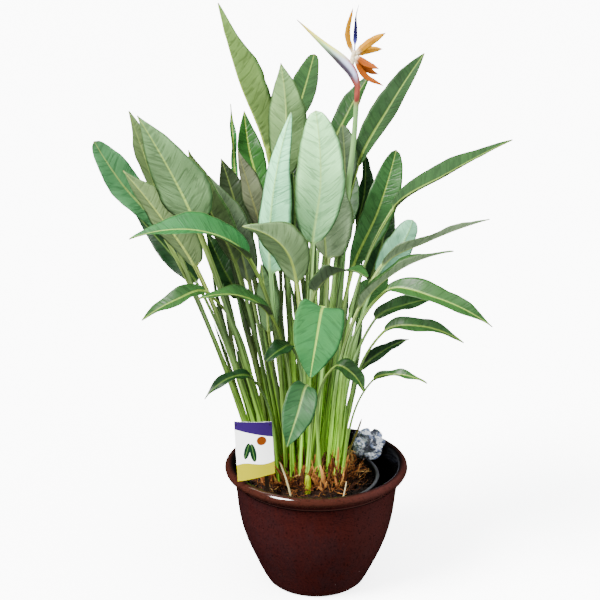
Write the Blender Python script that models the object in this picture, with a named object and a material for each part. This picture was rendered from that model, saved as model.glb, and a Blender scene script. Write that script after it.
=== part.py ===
"""A potted bird of paradise: a clump of leaves and one flower in a nursery pot inside a glazed pot.

Metres, +Z up. The origin is the centre of the flat underside of the glazed pot.
The front of the plant faces -Y.
"""

import math

import bmesh
import bpy
import numpy as np
from mathutils import Vector

GAP = 0.0003

POT_RIM_RADIUS = 0.1795
POT_BEAD_RADIUS = 0.0105
POT_RIM_HEIGHT = 0.2555
POT_FLOOR = 0.012
POT_WALL = 0.009
POT_SEGMENTS = 32
POT_SIDE_HEIGHTS = (0.0, 0.004, 0.018, 0.041, 0.063, 0.086, 0.108, 0.131, 0.160, 0.199, 0.215, 0.235)
POT_SIDE_RADII = (0.099, 0.1035, 0.111, 0.122, 0.132, 0.142, 0.150, 0.1565, 0.162, 0.166, 0.168, 0.1695)

NURSERY_CENTRE = (-0.012, 0.0)
NURSERY_TOP_RADIUS = 0.138
NURSERY_BASE_RADIUS = 0.086
NURSERY_HEIGHT = 0.225
NURSERY_BASE = POT_FLOOR + GAP
NURSERY_TOP = NURSERY_BASE + NURSERY_HEIGHT
NURSERY_WALL = 0.0022
NURSERY_FLOOR = 0.0025
NURSERY_RIM_WIDTH = 0.006
NURSERY_RIM_DEPTH = 0.014
DRAIN_HOLES = 6
DRAIN_RADIUS = 0.006
DRAIN_REACH = 0.62 * NURSERY_BASE_RADIUS

SOIL_BASE = NURSERY_BASE + NURSERY_FLOOR + GAP
SOIL_TOP = 0.222
CROWN_CENTRE = (-0.02, 0.0)
CROWN_HALF_WIDTH = 0.112
CROWN_HALF_DEPTH = 0.100
CROWN_BOTTOM = 0.205
CROWN_EDGE_HEIGHT = 0.230
CROWN_TOP = 0.252
FOOT_HEIGHT = 0.222
FOOT_SPREAD = (0.095, 0.084)
FAN_DEPTH = 0.21
FIBRES = 36
FIBRE_ROOM = 0.0135

# Corners of a stem's section, as angle and share of its radius. The second one is the groove on top.
STEM_CORNERS = tuple(
    (math.radians(angle), share)
    for angle, share in ((150, 1), (90, 0.72), (30, 1), (-12, 1), (-50, 1), (-90, 1), (-130, 1), (192, 1))
)
STEM_STEPS = (0.0, 0.12, 0.38, 0.7, 1.0)
LARGE_LEAF_WIDTH = 0.05
LARGE_BLADE_STEPS = (0.03, 0.11, 0.24, 0.38, 0.52, 0.66, 0.79, 0.91, 1.0)
SMALL_BLADE_STEPS = (0.05, 0.2, 0.4, 0.6, 0.8, 1.0)
BLADE_THICKNESS = 0.0011
STEM_SPACING = 0.0013

WAD_CENTRE = (0.112, 0.088, 0.265)
WAD_RADIUS = 0.034

CARD_CORNERS = (
    (-0.165, -0.120, 0.405),
    (-0.090, -0.114, 0.402),
    (-0.084, -0.114, 0.290),
    (-0.159, -0.120, 0.274),
)
CARD_THICKNESS = 0.0012
STAKE_TOP = (-0.104, -0.1160, 0.318)
STAKE_FOOT = (-0.096, -0.084, 0.190)
STAKE_WIDTH = 0.009
STAKE_THICKNESS = 0.0022


def leaf(neck, belly, tip, width, face, fold=22, wave=0.0035, widest=0.4, base=0.6, end=1.1):
    """The places a leaf passes through, its greatest width and the way its upper side looks.

    neck is where the stem meets the blade, belly is the middle of the blade.
    fold raises both halves of the blade, in degrees. wave is how far the edges rise and fall, in metres.
    widest is the share of the blade's length where it is widest.
    base and end say how the outline narrows there: 0.5 is round, 1 or more is drawn out.
    """
    return {
        "neck": neck,
        "belly": belly,
        "tip": tip,
        "width": width,
        "face": face,
        "fold": fold,
        "wave": wave,
        "widest": widest,
        "base": base,
        "end": end,
    }


LEAVES = {
    "leaf_tall_left": leaf(
        (-0.097, 0.03, 0.92), (-0.15, 0.02, 1.065), (-0.188, 0, 1.21),
        0.116, (0.85, 0.5, 0.1), fold=30,
    ),
    "leaf_upper_grey": leaf(
        (-0.065, -0.02, 0.875), (-0.06, -0.035, 1.005), (-0.07, -0.05, 1.105),
        0.078, (0.15, 1, 0.2),
    ),
    "leaf_back_upper": leaf(
        (-0.06, 0.1, 0.915), (-0.03, 0.15, 1), (-0.005, 0.2, 1.08),
        0.056, (-0.3, -1, 0.3), end=0.5, widest=0.52,
    ),
    "leaf_pale_narrow": leaf(
        (-0.09, -0.1, 0.705), (-0.085, -0.125, 0.86), (-0.05, -0.14, 1.03),
        0.08, (0.45, 0.9, 0), fold=28, widest=0.24, end=0.8,
    ),
    "leaf_centre_broad": leaf(
        (-0.01, -0.07, 0.755), (0.005, -0.085, 0.885), (-0.005, -0.1, 1.025),
        0.096, (0, 1, 0.15), fold=12, end=0.5, widest=0.45,
    ),
    "leaf_curved_olive": leaf(
        (-0.04, -0.11, 0.69), (-0.07, -0.16, 0.785), (-0.14, -0.2, 0.83),
        0.084, (-0.1, 0.75, 0.6), fold=24, widest=0.42,
    ),
    "leaf_centre_half_hidden": leaf(
        (0.02, -0.035, 0.715), (0.015, -0.035, 0.825), (0.045, -0.03, 0.93),
        0.112, (0.55, 0.8, 0.1), widest=0.36,
    ),
    "leaf_short_bent": leaf(
        (-0.005, -0.115, 0.675), (0.035, -0.13, 0.72), (0.09, -0.2, 0.73),
        0.068, (-0.3, 0.55, 0.75), fold=16, end=0.6,
    ),
    "leaf_front_hanging": leaf(
        (0.01, -0.14, 0.65), (-0.005, -0.215, 0.6), (-0.015, -0.24, 0.545),
        0.096, (0, -1, 0.2), fold=12, widest=0.30, end=0.85,
    ),
    "leaf_low_hanging": leaf(
        (-0.02, -0.13, 0.485), (-0.04, -0.175, 0.44), (-0.06, -0.19, 0.38),
        0.064, (0, -1, 0.3), fold=14, widest=0.38,
    ),
    "leaf_front_small": leaf(
        (-0.05, -0.125, 0.565), (-0.075, -0.16, 0.57), (-0.1, -0.18, 0.555),
        0.04, (-0.2, -0.6, 0.8), end=0.7,
    ),
    "leaf_arching_left": leaf(
        (-0.13, -0.13, 0.745), (-0.22, -0.18, 0.815), (-0.35, -0.2, 0.805),
        0.078, (0, -0.35, 0.94), fold=28,
    ),
    "leaf_outer_left": leaf(
        (-0.306, -0.03, 0.772), (-0.379, -0.04, 0.87), (-0.427, -0.05, 0.955),
        0.068, (0.3, -0.75, 0.5), end=0.5, widest=0.5,
    ),
    "leaf_striped_left": leaf(
        (-0.285, -0.07, 0.79), (-0.325, -0.075, 0.925), (-0.355, -0.08, 1.02),
        0.07, (0.5, 0.85, 0.1),
    ),
    "leaf_big_left": leaf(
        (-0.23, -0.14, 0.82), (-0.265, -0.15, 0.905), (-0.33, -0.17, 1.03),
        0.11, (0.25, 0.95, 0.1), fold=14, widest=0.36,
    ),
    "leaf_olive_left": leaf(
        (-0.235, -0.09, 0.715), (-0.3, -0.105, 0.825), (-0.365, -0.12, 0.915),
        0.082, (0.4, 0.9, 0.1),
    ),
    "leaf_dark_left_back": leaf(
        (-0.245, 0.06, 0.635), (-0.3, 0.09, 0.69), (-0.375, 0.13, 0.765),
        0.046, (-0.1, -0.9, 0.4),
    ),
    "leaf_low_left": leaf(
        (-0.215, -0.12, 0.675), (-0.27, -0.15, 0.67), (-0.335, -0.17, 0.635),
        0.04, (0, -0.5, 0.85),
    ),
    "leaf_mid_left": leaf(
        (-0.09, -0.14, 0.635), (-0.15, -0.17, 0.685), (-0.225, -0.19, 0.685),
        0.05, (0, -0.2, 0.95),
    ),
    "leaf_small_left": leaf(
        (-0.13, -0.1, 0.49), (-0.175, -0.13, 0.5), (-0.22, -0.15, 0.465),
        0.026, (0, -0.5, 0.85),
    ),
    "leaf_small_right": leaf(
        (0.035, -0.14, 0.53), (0.065, -0.16, 0.525), (0.09, -0.18, 0.49),
        0.038, (0.2, -0.6, 0.7),
    ),
    "leaf_low_right": leaf(
        (0.11, -0.1, 0.485), (0.16, -0.12, 0.505), (0.215, -0.13, 0.49),
        0.022, (0, -0.4, 0.9),
    ),
    "leaf_dark_low_right": leaf(
        (0.09, -0.02, 0.475), (0.135, 0.01, 0.505), (0.19, 0.04, 0.52),
        0.028, (0, -0.6, 0.8),
    ),
    "leaf_mid_low_right": leaf(
        (0.13, -0.09, 0.583), (0.2, -0.11, 0.602), (0.285, -0.12, 0.571),
        0.036, (0, -0.5, 0.85),
    ),
    "leaf_dark_right": leaf(
        (0.115, -0.05, 0.595), (0.175, -0.02, 0.615), (0.25, 0.03, 0.61),
        0.038, (0, -0.5, 0.85),
    ),
    "leaf_arching_right": leaf(
        (0.13, -0.13, 0.68), (0.225, -0.17, 0.68), (0.33, -0.19, 0.629),
        0.052, (0.1, -0.5, 0.85),
    ),
    "leaf_folded_right": leaf(
        (0.08, -0.1, 0.635), (0.155, -0.115, 0.72), (0.26, -0.11, 0.755),
        0.052, (-0.2, 0.15, 0.97), fold=32, base=0.85,
    ),
    "leaf_grey_right": leaf(
        (0.125, -0.06, 0.71), (0.215, -0.055, 0.76), (0.335, -0.04, 0.799),
        0.056, (-0.2, 0.35, 0.9), base=0.9,
    ),
    "leaf_pale_right": leaf(
        (0.12, -0.02, 0.68), (0.165, 0, 0.73), (0.19, 0.02, 0.78),
        0.062, (-0.3, 0.95, 0.1), fold=10, end=0.45, widest=0.5,
    ),
    "leaf_long_right": leaf(
        (0.145, -0.03, 0.812), (0.257, -0.01, 0.884), (0.38, 0.01, 0.945),
        0.056, (-0.2, -0.25, 0.95), fold=34, wave=0.0018, base=0.95, widest=0.42,
    ),
    "leaf_tall_right": leaf(
        (0.08, 0.05, 0.88), (0.144, 0.08, 0.997), (0.213, 0.12, 1.095),
        0.059, (-0.5, -0.85, 0.15), fold=34, wave=0.0018, widest=0.45, end=0.85,
    ),
    "leaf_back_of_stalk": leaf(
        (0.029, 0.1, 0.9), (0.061, 0.15, 0.965), (0.107, 0.2, 1.035),
        0.046, (-0.5, -0.85, 0.3), fold=30, wave=0.0018, end=0.7, widest=0.5,
    ),
    "leaf_grey_narrow": leaf(
        (0.055, 0.03, 0.835), (0.055, 0.04, 0.9), (0.05, 0.05, 0.965),
        0.046, (0.45, 0.9, 0.1), end=0.55, widest=0.5,
    ),
    "leaf_dark_narrow": leaf(
        (0.08, 0.04, 0.76), (0.095, 0.055, 0.83), (0.095, 0.07, 0.9),
        0.036, (0.6, -0.8, 0), end=0.6, widest=0.5,
    ),
    "leaf_broad_right": leaf(
        (0.07, -0.01, 0.685), (0.12, 0.01, 0.8), (0.155, 0.03, 0.92),
        0.066, (0.1, -0.95, 0.2), end=0.5, widest=0.52,
    ),
    "leaf_dark_right_back": leaf(
        (0.11, 0.08, 0.63), (0.135, 0.12, 0.7), (0.155, 0.17, 0.79),
        0.055, (0.2, -0.9, 0.3),
    ),
    "leaf_green_left": leaf(
        (-0.11, 0.05, 0.815), (-0.135, 0.07, 0.91), (-0.145, 0.09, 0.985),
        0.054, (0.2, -0.95, 0.2),
    ),
    "leaf_rolled_spear": leaf(
        (-0.165, 0.12, 0.815), (-0.17, 0.14, 0.905), (-0.175, 0.16, 0.985),
        0.014, (0.5, -0.8, 0.2),
    ),
    "leaf_grey_behind": leaf(
        (-0.16, -0.06, 0.715), (-0.21, -0.07, 0.835), (-0.245, -0.08, 0.945),
        0.062, (0.3, 0.95, 0.1),
    ),
    "leaf_olive_slender": leaf(
        (-0.135, -0.03, 0.665), (-0.165, -0.035, 0.785), (-0.21, -0.04, 0.885),
        0.062, (0.3, 0.95, 0.1),
    ),
    "leaf_dark_olive": leaf(
        (-0.14, 0.02, 0.72), (-0.165, 0.03, 0.82), (-0.19, 0.04, 0.9),
        0.06, (0.2, -0.95, 0.2), widest=0.45,
    ),
    "leaf_brown_grey": leaf(
        (-0.105, 0, 0.745), (-0.13, 0, 0.84), (-0.155, 0.005, 0.925),
        0.056, (0.4, 0.9, 0.1),
    ),
    "leaf_green_under": leaf(
        (-0.095, -0.06, 0.57), (-0.1, -0.065, 0.64), (-0.11, -0.065, 0.715),
        0.05, (0.3, 0.9, 0.1),
    ),
    "leaf_back_centre": leaf(
        (0.03, 0.16, 0.675), (0.06, 0.22, 0.765), (0.075, 0.27, 0.84),
        0.075, (-0.1, -0.9, 0.5),
    ),
    "leaf_back_left": leaf(
        (-0.045, 0.1, 0.7), (-0.045, 0.13, 0.8), (-0.055, 0.16, 0.9),
        0.056, (0.1, -0.9, 0.5),
    ),
    "leaf_back_low_right": leaf(
        (0.08, 0.14, 0.525), (0.125, 0.2, 0.575), (0.15, 0.27, 0.585),
        0.06, (-0.2, -0.7, 0.7),
    ),
    "leaf_back_low_left": leaf(
        (-0.16, 0.06, 0.6), (-0.195, 0.075, 0.67), (-0.225, 0.09, 0.735),
        0.056, (0.2, -0.7, 0.7),
    ),
}

STALK_PATH = (
    (0.016, 0.004, FOOT_HEIGHT),
    (0.036, 0.002, 0.46),
    (0.05, 0.0, 0.685),
    (0.06, 0.0, 0.84),
    (0.07, -0.005, 0.945),
    (0.075, -0.015, 1.035),
)
STALK_RADIUS = 0.0052
STALK_FLARE = 1.25
BRACT_PATH = (
    (0.0755, -0.019, 1.055),
    (0.0655, -0.021, 1.082),
    (0.045, -0.022, 1.106),
    (0.005, -0.023, 1.141),
    (-0.040, -0.024, 1.182),
)
BRACT_HEIGHTS = (0.0056, 0.0102, 0.0108, 0.0054, 0.0006)
BRACT_WIDTHS = (0.0056, 0.0080, 0.0075, 0.0045, 0.0006)
BLOOM_BASE = (0.0635, -0.0215, 1.098)
BLOOM_TOP = (0.0690, -0.0215, 1.124)
BLOOM_RADIUS = 0.0052
# bow is how far the middle of a sepal lies from the straight line between its root and its tip.
SEPALS = (
    {"tip": (0.0648, -0.030, 1.205), "width": 0.0100, "bow": (-0.0105, 0, -0.005)},
    {"tip": (0.1268, -0.032, 1.1586), "width": 0.0140, "bow": (0.002, 0, 0.004)},
    {"tip": (0.1226, -0.010, 1.1246), "width": 0.0125, "bow": (0.003, 0, 0.004)},
    {"tip": (0.1152, -0.040, 1.0918), "width": 0.0125, "bow": (0.0005, 0, -0.003)},
    {"tip": (0.1152, -0.014, 1.0769), "width": 0.0115, "bow": (0, 0, -0.007)},
    {"tip": (0.1245, -0.034, 1.0584), "width": 0.0105, "bow": (-0.0080, 0, -0.008)},
)
TONGUE_PATH = (
    (0.0690, -0.0215, 1.118),
    (0.0700, -0.0215, 1.143),
    (0.0706, -0.021, 1.165),
    (0.0714, -0.020, 1.189),
    (0.0765, -0.019, 1.2095),
)
TONGUE_WIDTHS = (0.0014, 0.0042, 0.0035, 0.0013, 0.0005)


def clear_scene():
    for item in list(bpy.data.objects):
        bpy.data.objects.remove(item, do_unlink=True)


def material(name, colour, roughness, metallic=0.0, transmission=0.0):
    made = bpy.data.materials.new(name)
    made.use_nodes = True
    shader = made.node_tree.nodes["Principled BSDF"]
    shader.inputs["Base Color"].default_value = (*colour, 1.0)
    shader.inputs["Roughness"].default_value = roughness
    shader.inputs["Metallic"].default_value = metallic
    shader.inputs["Transmission Weight"].default_value = transmission
    return made


def new_object(name, points, faces, finish=None, smooth=True):
    mesh = bpy.data.meshes.new(name)
    mesh.from_pydata([tuple(map(float, p)) for p in points], [], [tuple(map(int, f)) for f in faces])
    mesh.validate()
    made = bpy.data.objects.new(name, mesh)
    bpy.context.scene.collection.objects.link(made)
    work = bmesh.new()
    work.from_mesh(mesh)
    bmesh.ops.recalc_face_normals(work, faces=work.faces)
    work.to_mesh(mesh)
    work.free()
    if smooth:
        mesh.shade_smooth()
        mesh.set_sharp_from_angle(angle=math.radians(40))
    if finish is not None:
        mesh.materials.append(finish)
    return made


def boolean(target, others, operation="DIFFERENCE"):
    """Applies one Boolean with all the other objects at once, and removes them."""
    group = bpy.data.collections.new("operands")
    bpy.context.scene.collection.children.link(group)
    for other in others:
        group.objects.link(other)
    step = target.modifiers.new("boolean", "BOOLEAN")
    step.operation = operation
    step.solver = "EXACT"
    step.operand_type = "COLLECTION"
    step.collection = group
    graph = bpy.context.evaluated_depsgraph_get()
    result = bpy.data.meshes.new_from_object(target.evaluated_get(graph))
    target.modifiers.remove(step)
    old = target.data
    target.data = result
    bpy.data.meshes.remove(old)
    for other in others:
        bpy.data.objects.remove(other, do_unlink=True)
    bpy.data.collections.remove(group)
    return target


def unit(vectors):
    vectors = np.asarray(vectors, float)
    return vectors / np.maximum(np.linalg.norm(vectors, axis=-1, keepdims=True), 1e-12)


def loft(rings, split_from=None):
    """Points and triangles of a closed skin over equal rings, with flat ends.

    The quads that start at the corners in split_from are cut along their other diagonal.
    """
    count, around = rings.shape[:2]
    points = rings.reshape(-1, 3)
    faces = []
    for i in range(count - 1):
        for j in range(around):
            k = (j + 1) % around
            a, b = i * around + j, i * around + k
            c, d = a + around, b + around
            if j in (split_from or ()):
                faces += [(a, b, d), (a, d, c)]
            else:
                faces += [(a, b, c), (b, d, c)]
    faces.append(tuple(range(around)))
    faces.append(tuple(range((count - 1) * around, count * around)))
    return points, faces


def lathe(name, profile, segments, finish, centre=(0.0, 0.0)):
    """Turns a closed outline of (radius, height) points about the vertical axis.

    Points with radius 0 become single poles.
    """
    points, rows = [], []
    for radius, height in profile:
        if radius < 1e-6:
            rows.append([len(points)] * segments)
            points.append((centre[0], centre[1], height))
            continue
        rows.append(list(range(len(points), len(points) + segments)))
        for k in range(segments):
            angle = 2 * math.pi * k / segments
            x, y = centre[0] + radius * math.cos(angle), centre[1] + radius * math.sin(angle)
            points.append((x, y, height))
    faces = []
    closed = profile[0][0] > 1e-6
    pairs = list(zip(rows, rows[1:])) + ([(rows[-1], rows[0])] if closed else [])
    for low, high in pairs:
        for k in range(segments):
            n = (k + 1) % segments
            corners = [low[k], low[n], high[n], high[k]]
            faces.append(tuple(dict.fromkeys(corners)))
    return new_object(name, points, faces, finish)


def arc(centre, radius, start, end, count):
    """Points of a circular arc in (radius, height), angles in degrees."""
    angles = np.radians(np.linspace(start, end, count))
    return [(centre[0] + radius * math.cos(a), centre[1] + radius * math.sin(a)) for a in angles]


def cover_outer_radius(height):
    """Bowl side: widest under the rim and drawn in towards the base."""
    return float(np.interp(height, POT_SIDE_HEIGHTS, POT_SIDE_RADII))


def cover_profile(grow=0.0):
    """Outline of the glazed pot, base first, then the outside, the bead and the inside."""
    bead = (POT_RIM_RADIUS, POT_RIM_HEIGHT)
    heights = (0.0, 0.004, 0.030, 0.063, 0.097, 0.131, 0.175, 0.222)
    outside = [(cover_outer_radius(z) + grow, z) for z in heights]
    rim = arc(bead, POT_BEAD_RADIUS + grow, -118, 160, 8)
    inside = [(cover_outer_radius(z) - POT_WALL - grow, z) for z in (0.235, 0.180, 0.120, 0.063)]
    floor = [(cover_outer_radius(POT_FLOOR) - POT_WALL - grow, POT_FLOOR + grow), (0.0, POT_FLOOR + grow)]
    return [(0.0, 0.0), *outside, *rim, *inside, *floor]


def make_cover_pot(finish):
    return lathe("cover_pot", cover_profile(), POT_SEGMENTS, finish)


def nursery_profile(grow=0.0):
    """Outline of the thin nursery pot with its turned-out rim."""
    under_rim = NURSERY_TOP - NURSERY_RIM_DEPTH - grow
    lip = NURSERY_TOP_RADIUS + NURSERY_RIM_WIDTH
    return [
        (0.0, NURSERY_BASE - grow),
        (NURSERY_BASE_RADIUS + grow, NURSERY_BASE - grow),
        (NURSERY_TOP_RADIUS + grow, under_rim),
        (lip - 0.001 + grow, under_rim),
        (lip + grow, NURSERY_TOP - 0.002),
        (lip - 0.002, NURSERY_TOP + grow),
        (NURSERY_TOP_RADIUS, NURSERY_TOP + grow),
        (NURSERY_TOP_RADIUS - NURSERY_WALL - grow, NURSERY_TOP - 0.003),
        (NURSERY_BASE_RADIUS - NURSERY_WALL - grow, NURSERY_BASE + NURSERY_FLOOR),
        (0.0, NURSERY_BASE + NURSERY_FLOOR),
    ]


def make_nursery_pot(finish):
    pot = lathe("nursery_pot", nursery_profile(), POT_SEGMENTS, finish, NURSERY_CENTRE)
    low, high = NURSERY_BASE - 0.01, NURSERY_BASE + 0.01
    outline = [(0.0, low), (DRAIN_RADIUS, low), (DRAIN_RADIUS, high), (0.0, high)]
    bores = []
    for k in range(DRAIN_HOLES):
        angle = 2 * math.pi * (k + 0.5) / DRAIN_HOLES
        x = NURSERY_CENTRE[0] + DRAIN_REACH * math.cos(angle)
        y = NURSERY_CENTRE[1] + DRAIN_REACH * math.sin(angle)
        bores.append(lathe("bore", outline, 10, None, (x, y)))
    return boolean(pot, bores)


def soil_radius(height):
    """The inside of the nursery pot, less a small gap."""
    share = (height - SOIL_BASE) / (NURSERY_TOP - 0.003 - SOIL_BASE)
    low = NURSERY_BASE_RADIUS - NURSERY_WALL
    return low + (NURSERY_TOP_RADIUS - NURSERY_WALL - low) * share - 2 * GAP


def crown_outline(angle, grow=0.0):
    """A slightly lobed oval, seen from above."""
    lobes = 1 + 0.025 * math.sin(3 * angle + 0.6) + 0.018 * math.sin(7 * angle)
    x = CROWN_CENTRE[0] + (CROWN_HALF_WIDTH * lobes + grow) * math.cos(angle)
    y = CROWN_CENTRE[1] + (CROWN_HALF_DEPTH * lobes + grow) * math.sin(angle)
    return x, y


def make_soil(finish):
    """Fills the nursery pot and has a lumpy top, a hollow for the crown and a slot for the stake."""
    segments = 32
    angles = [2 * math.pi * k / segments for k in range(segments)]
    heights = (SOIL_BASE, SOIL_TOP - 0.004)
    rings = [[(soil_radius(z), z) for _ in angles] for z in heights]
    for share in (0.95, 0.88, 0.6, 0.3, 0.08):
        wide = soil_radius(SOIL_TOP) * share
        lumps = [1.8 * math.sin(5 * a + 9 * share) + 1.4 * math.sin(11 * a + 20 * share) for a in angles]
        rings.append([(wide, SOIL_TOP + 0.001 * lump) for lump in lumps])
    rows = []
    for ring in rings:
        row = [(NURSERY_CENTRE[0] + r * math.cos(a), NURSERY_CENTRE[1] + r * math.sin(a), z)
               for a, (r, z) in zip(angles, ring)]
        rows.append(row)
    soil = new_object("soil", *loft(np.array(rows)), finish)
    hollow = oval_block("hollow", CROWN_BOTTOM - GAP, SOIL_TOP + 0.03, 2 * GAP)
    return boolean(soil, [hollow, make_stake("slot", 2 * GAP)])


def crown_place(angle, share):
    """A point of the crown's outline, drawn in towards its centre."""
    x, y = crown_outline(angle)
    return CROWN_CENTRE[0] + (x - CROWN_CENTRE[0]) * share, CROWN_CENTRE[1] + (y - CROWN_CENTRE[1]) * share


def oval_block(name, bottom, top, grow):
    segments = 24
    ring = [crown_outline(2 * math.pi * k / segments, grow) for k in range(segments)]
    rings = np.array([[(x, y, bottom) for x, y in ring], [(x, y, top) for x, y in ring]])
    return new_object(name, *loft(rings))


def crown_height(x, y):
    """The crown's domed top: highest in the middle and rounded off at its edge."""
    across = (x - CROWN_CENTRE[0]) / CROWN_HALF_WIDTH
    along = (y - CROWN_CENTRE[1]) / CROWN_HALF_DEPTH
    out = np.clip(across**2 + along**2, 0, 1)
    return CROWN_EDGE_HEIGHT + (CROWN_TOP - CROWN_EDGE_HEIGHT) * (1 - out)


def stem_radii(item):
    """Radius at the foot and at the neck. Wide leaves have thick stems."""
    return 0.0030 + 0.050 * item["width"], 0.0012 + 0.040 * item["width"]


def stem_radius(item, share):
    """The stem widens towards its foot, where it sheathes the next one."""
    foot, neck = stem_radii(item)
    return neck + (foot - neck) * (1 - share) ** 1.6


def hermite(start, end, leave, arrive, shares):
    """Smooth curve from start to end with the given end directions, at the given shares."""
    t = np.asarray(shares)[:, None]
    h00 = 2 * t**3 - 3 * t**2 + 1
    h10 = t**3 - 2 * t**2 + t
    h01 = -2 * t**3 + 3 * t**2
    h11 = t**3 - t**2
    reach = np.linalg.norm(np.subtract(end, start))
    return h00 * start + h10 * leave * reach + h01 * end + h11 * arrive * reach


def stem_line(item, shares, foot, bulge):
    """Centre line of a stem from its foot on the crown to the neck of its blade."""
    neck, belly = np.array(item["neck"]), np.array(item["belly"])
    rise = unit(neck - foot)
    leave = unit(rise * (0.75, 0.75, 1.0))
    arrive = unit(rise + 0.8 * unit(belly - neck))
    line = hermite(foot, neck, leave, arrive, shares)
    t = np.asarray(shares)[:, None]
    return line + 4 * t * (1 - t) * bulge


def blade_line(item, shares, foot):
    """Centre line of a blade from the neck through the belly to the tip."""
    neck, belly, tip = (np.array(item[k]) for k in ("neck", "belly", "tip"))
    leave = unit(unit(neck - foot) + 0.8 * unit(belly - neck))
    middle = unit(unit(belly - neck) + unit(tip - belly))
    arrive = unit(2 * unit(tip - belly) - middle)
    shares = np.asarray(shares)
    inner, outer = shares[shares <= 0.5] * 2, shares[shares > 0.5] * 2 - 1
    return np.vstack((hermite(neck, belly, leave, middle, inner), hermite(belly, tip, middle, arrive, outer)))


def spread_stems(leaves):
    """Feet and side bulges of all stems.

    Each foot starts on the line that fans out from a point under the crown to its neck.
    Then stems that come too near each other are pushed apart, step by step.
    """
    items = list(leaves.values())
    count, samples = len(items), 30
    shares = np.linspace(0, 1, samples)
    middle = np.array(CROWN_CENTRE)
    feet = np.zeros((count, 3))
    for i, item in enumerate(items):
        neck = np.array(item["neck"])
        share = FAN_DEPTH / (neck[2] - FOOT_HEIGHT + FAN_DEPTH)
        feet[i, :2] = middle + (neck[:2] - middle) * share * 1.15
        feet[i, 2] = FOOT_HEIGHT
    bulges = np.zeros((count, 3))
    radii = np.array([stem_radius(item, shares) for item in items])
    stalk = stalk_line(np.linspace(0, 0.75, 60))
    owner = np.concatenate((np.repeat(np.arange(count), samples), np.full(len(stalk), count)))
    thick = np.concatenate((radii.ravel(), np.full(len(stalk), STALK_RADIUS * STALK_FLARE)))
    apart = owner[:, None] != owner[None, :]
    room = thick[:, None] + thick[None, :] + STEM_SPACING
    foot_pull = (1 - shares) ** 2
    bulge_pull = 4 * shares * (1 - shares)
    for _ in range(160):
        lines = np.array([stem_line(item, shares, feet[i], bulges[i]) for i, item in enumerate(items)])
        flat = np.vstack((lines.reshape(-1, 3), stalk))
        delta = flat[:, None, :] - flat[None, :, :]
        distance = np.sqrt((delta**2).sum(axis=2)) + 1e-9
        short = np.where(apart & (distance < room), room - distance, 0.0)
        push = (delta / distance[..., None] * short[..., None]).sum(axis=1)[: count * samples]
        push = push.reshape(count, samples, 3)
        push[..., 2] = 0
        feet += 0.30 * (push * foot_pull[None, :, None]).sum(axis=1) / 2
        bulges += 0.30 * (push * bulge_pull[None, :, None]).sum(axis=1) / 4
        out = np.sqrt((((feet[:, :2] - middle) / FOOT_SPREAD) ** 2).sum(axis=1))
        feet[:, :2] = middle + (feet[:, :2] - middle) / np.maximum(out, 1)[:, None]
    return feet, bulges


def transport(line, start, normal):
    """Normals carried along a line without turning about it, from one of its points both ways."""
    tangents = unit(np.gradient(line, axis=0))
    normals = np.zeros_like(line)
    first = np.array(normal, float)
    normals[start] = unit(first - tangents[start] * (first @ tangents[start]))
    for step in (1, -1):
        i = start
        while 0 <= i + step < len(line):
            carried = normals[i] - tangents[i + step] * (normals[i] @ tangents[i + step])
            normals[i + step] = unit(carried)
            i += step
    return tangents, normals


def blade_half_width(item, t):
    """A sine arch with its top at the widest place, raised to a power that shapes both ends."""
    power = math.log(0.5) / math.log(item["widest"])
    narrowing = item["base"] + (item["end"] - item["base"]) * t
    return item["width"] / 2 * np.sin(math.pi * np.clip(t, 0, 1) ** power) ** narrowing + 0.0009


def resample(table, along, wanted):
    """Rows of a table read off at other places along a line."""
    return np.stack([np.interp(wanted, along, table[:, k]) for k in range(3)], axis=1)


def leaf_rings(item, foot, bulge, stem_shares, blade_shares, phase):
    """Rings of eight points: a grooved stem section that opens into a folded, waved blade."""
    fine_stem, fine_blade = np.linspace(0, 1, 41), np.linspace(0, 1, 61)
    line = np.vstack((stem_line(item, fine_stem, foot, bulge)[:-1], blade_line(item, fine_blade, foot)))
    along = np.concatenate((fine_stem[:-1], 1 + fine_blade))
    tangents, normals = transport(line, 40 + 30, item["face"])
    wanted = np.concatenate((stem_shares, 1 + np.asarray(blade_shares)))
    centres = resample(line, along, wanted)
    tangents = unit(resample(tangents, along, wanted))
    normals = unit(resample(normals, along, wanted))
    sides = unit(np.cross(tangents, normals))
    rings = np.zeros((len(wanted), 8, 3))
    neck_radius = stem_radii(item)[1]
    for i, share in enumerate(wanted):
        if share <= 1:
            radius = stem_radius(item, share)
            flat = [(radius * r * math.cos(a), radius * r * math.sin(a)) for a, r in STEM_CORNERS]
        else:
            t = share - 1
            flat = blade_section(item, t, neck_radius, phase)
        for j, (across, up) in enumerate(flat):
            rings[i, j] = centres[i] + sides[i] * across + normals[i] * up
    return rings


def blade_section(item, t, neck_radius, phase):
    """Eight points of the blade: left edge, groove, right edge, and the keel underneath."""
    half = float(blade_half_width(item, t))
    tilt = math.radians(item["fold"] * (1 - 0.25 * t))
    rib = neck_radius * (1 - t) ** 0.9 * 0.9 + 0.0008
    keel = 1.1 * rib + BLADE_THICKNESS
    swell = item["wave"] * math.sin(math.pi * t) ** 0.5
    left = swell * math.sin(4.4 * math.pi * t + phase)
    right = swell * math.sin(4.0 * math.pi * t + 1.9 * phase + 1.0)
    c, s = math.cos(tilt), math.sin(tilt)
    thick = BLADE_THICKNESS
    root = min(rib, 0.45 * half)
    return (
        (-half * c, half * s + left),
        (0.0, 0.0),
        (half * c, half * s + right),
        (half * c, half * s + right - thick),
        (root * c, root * s - thick - 0.35 * rib),
        (0.0, -keel),
        (-root * c, root * s - thick - 0.35 * rib),
        (-half * c, half * s + left - thick),
    )


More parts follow.
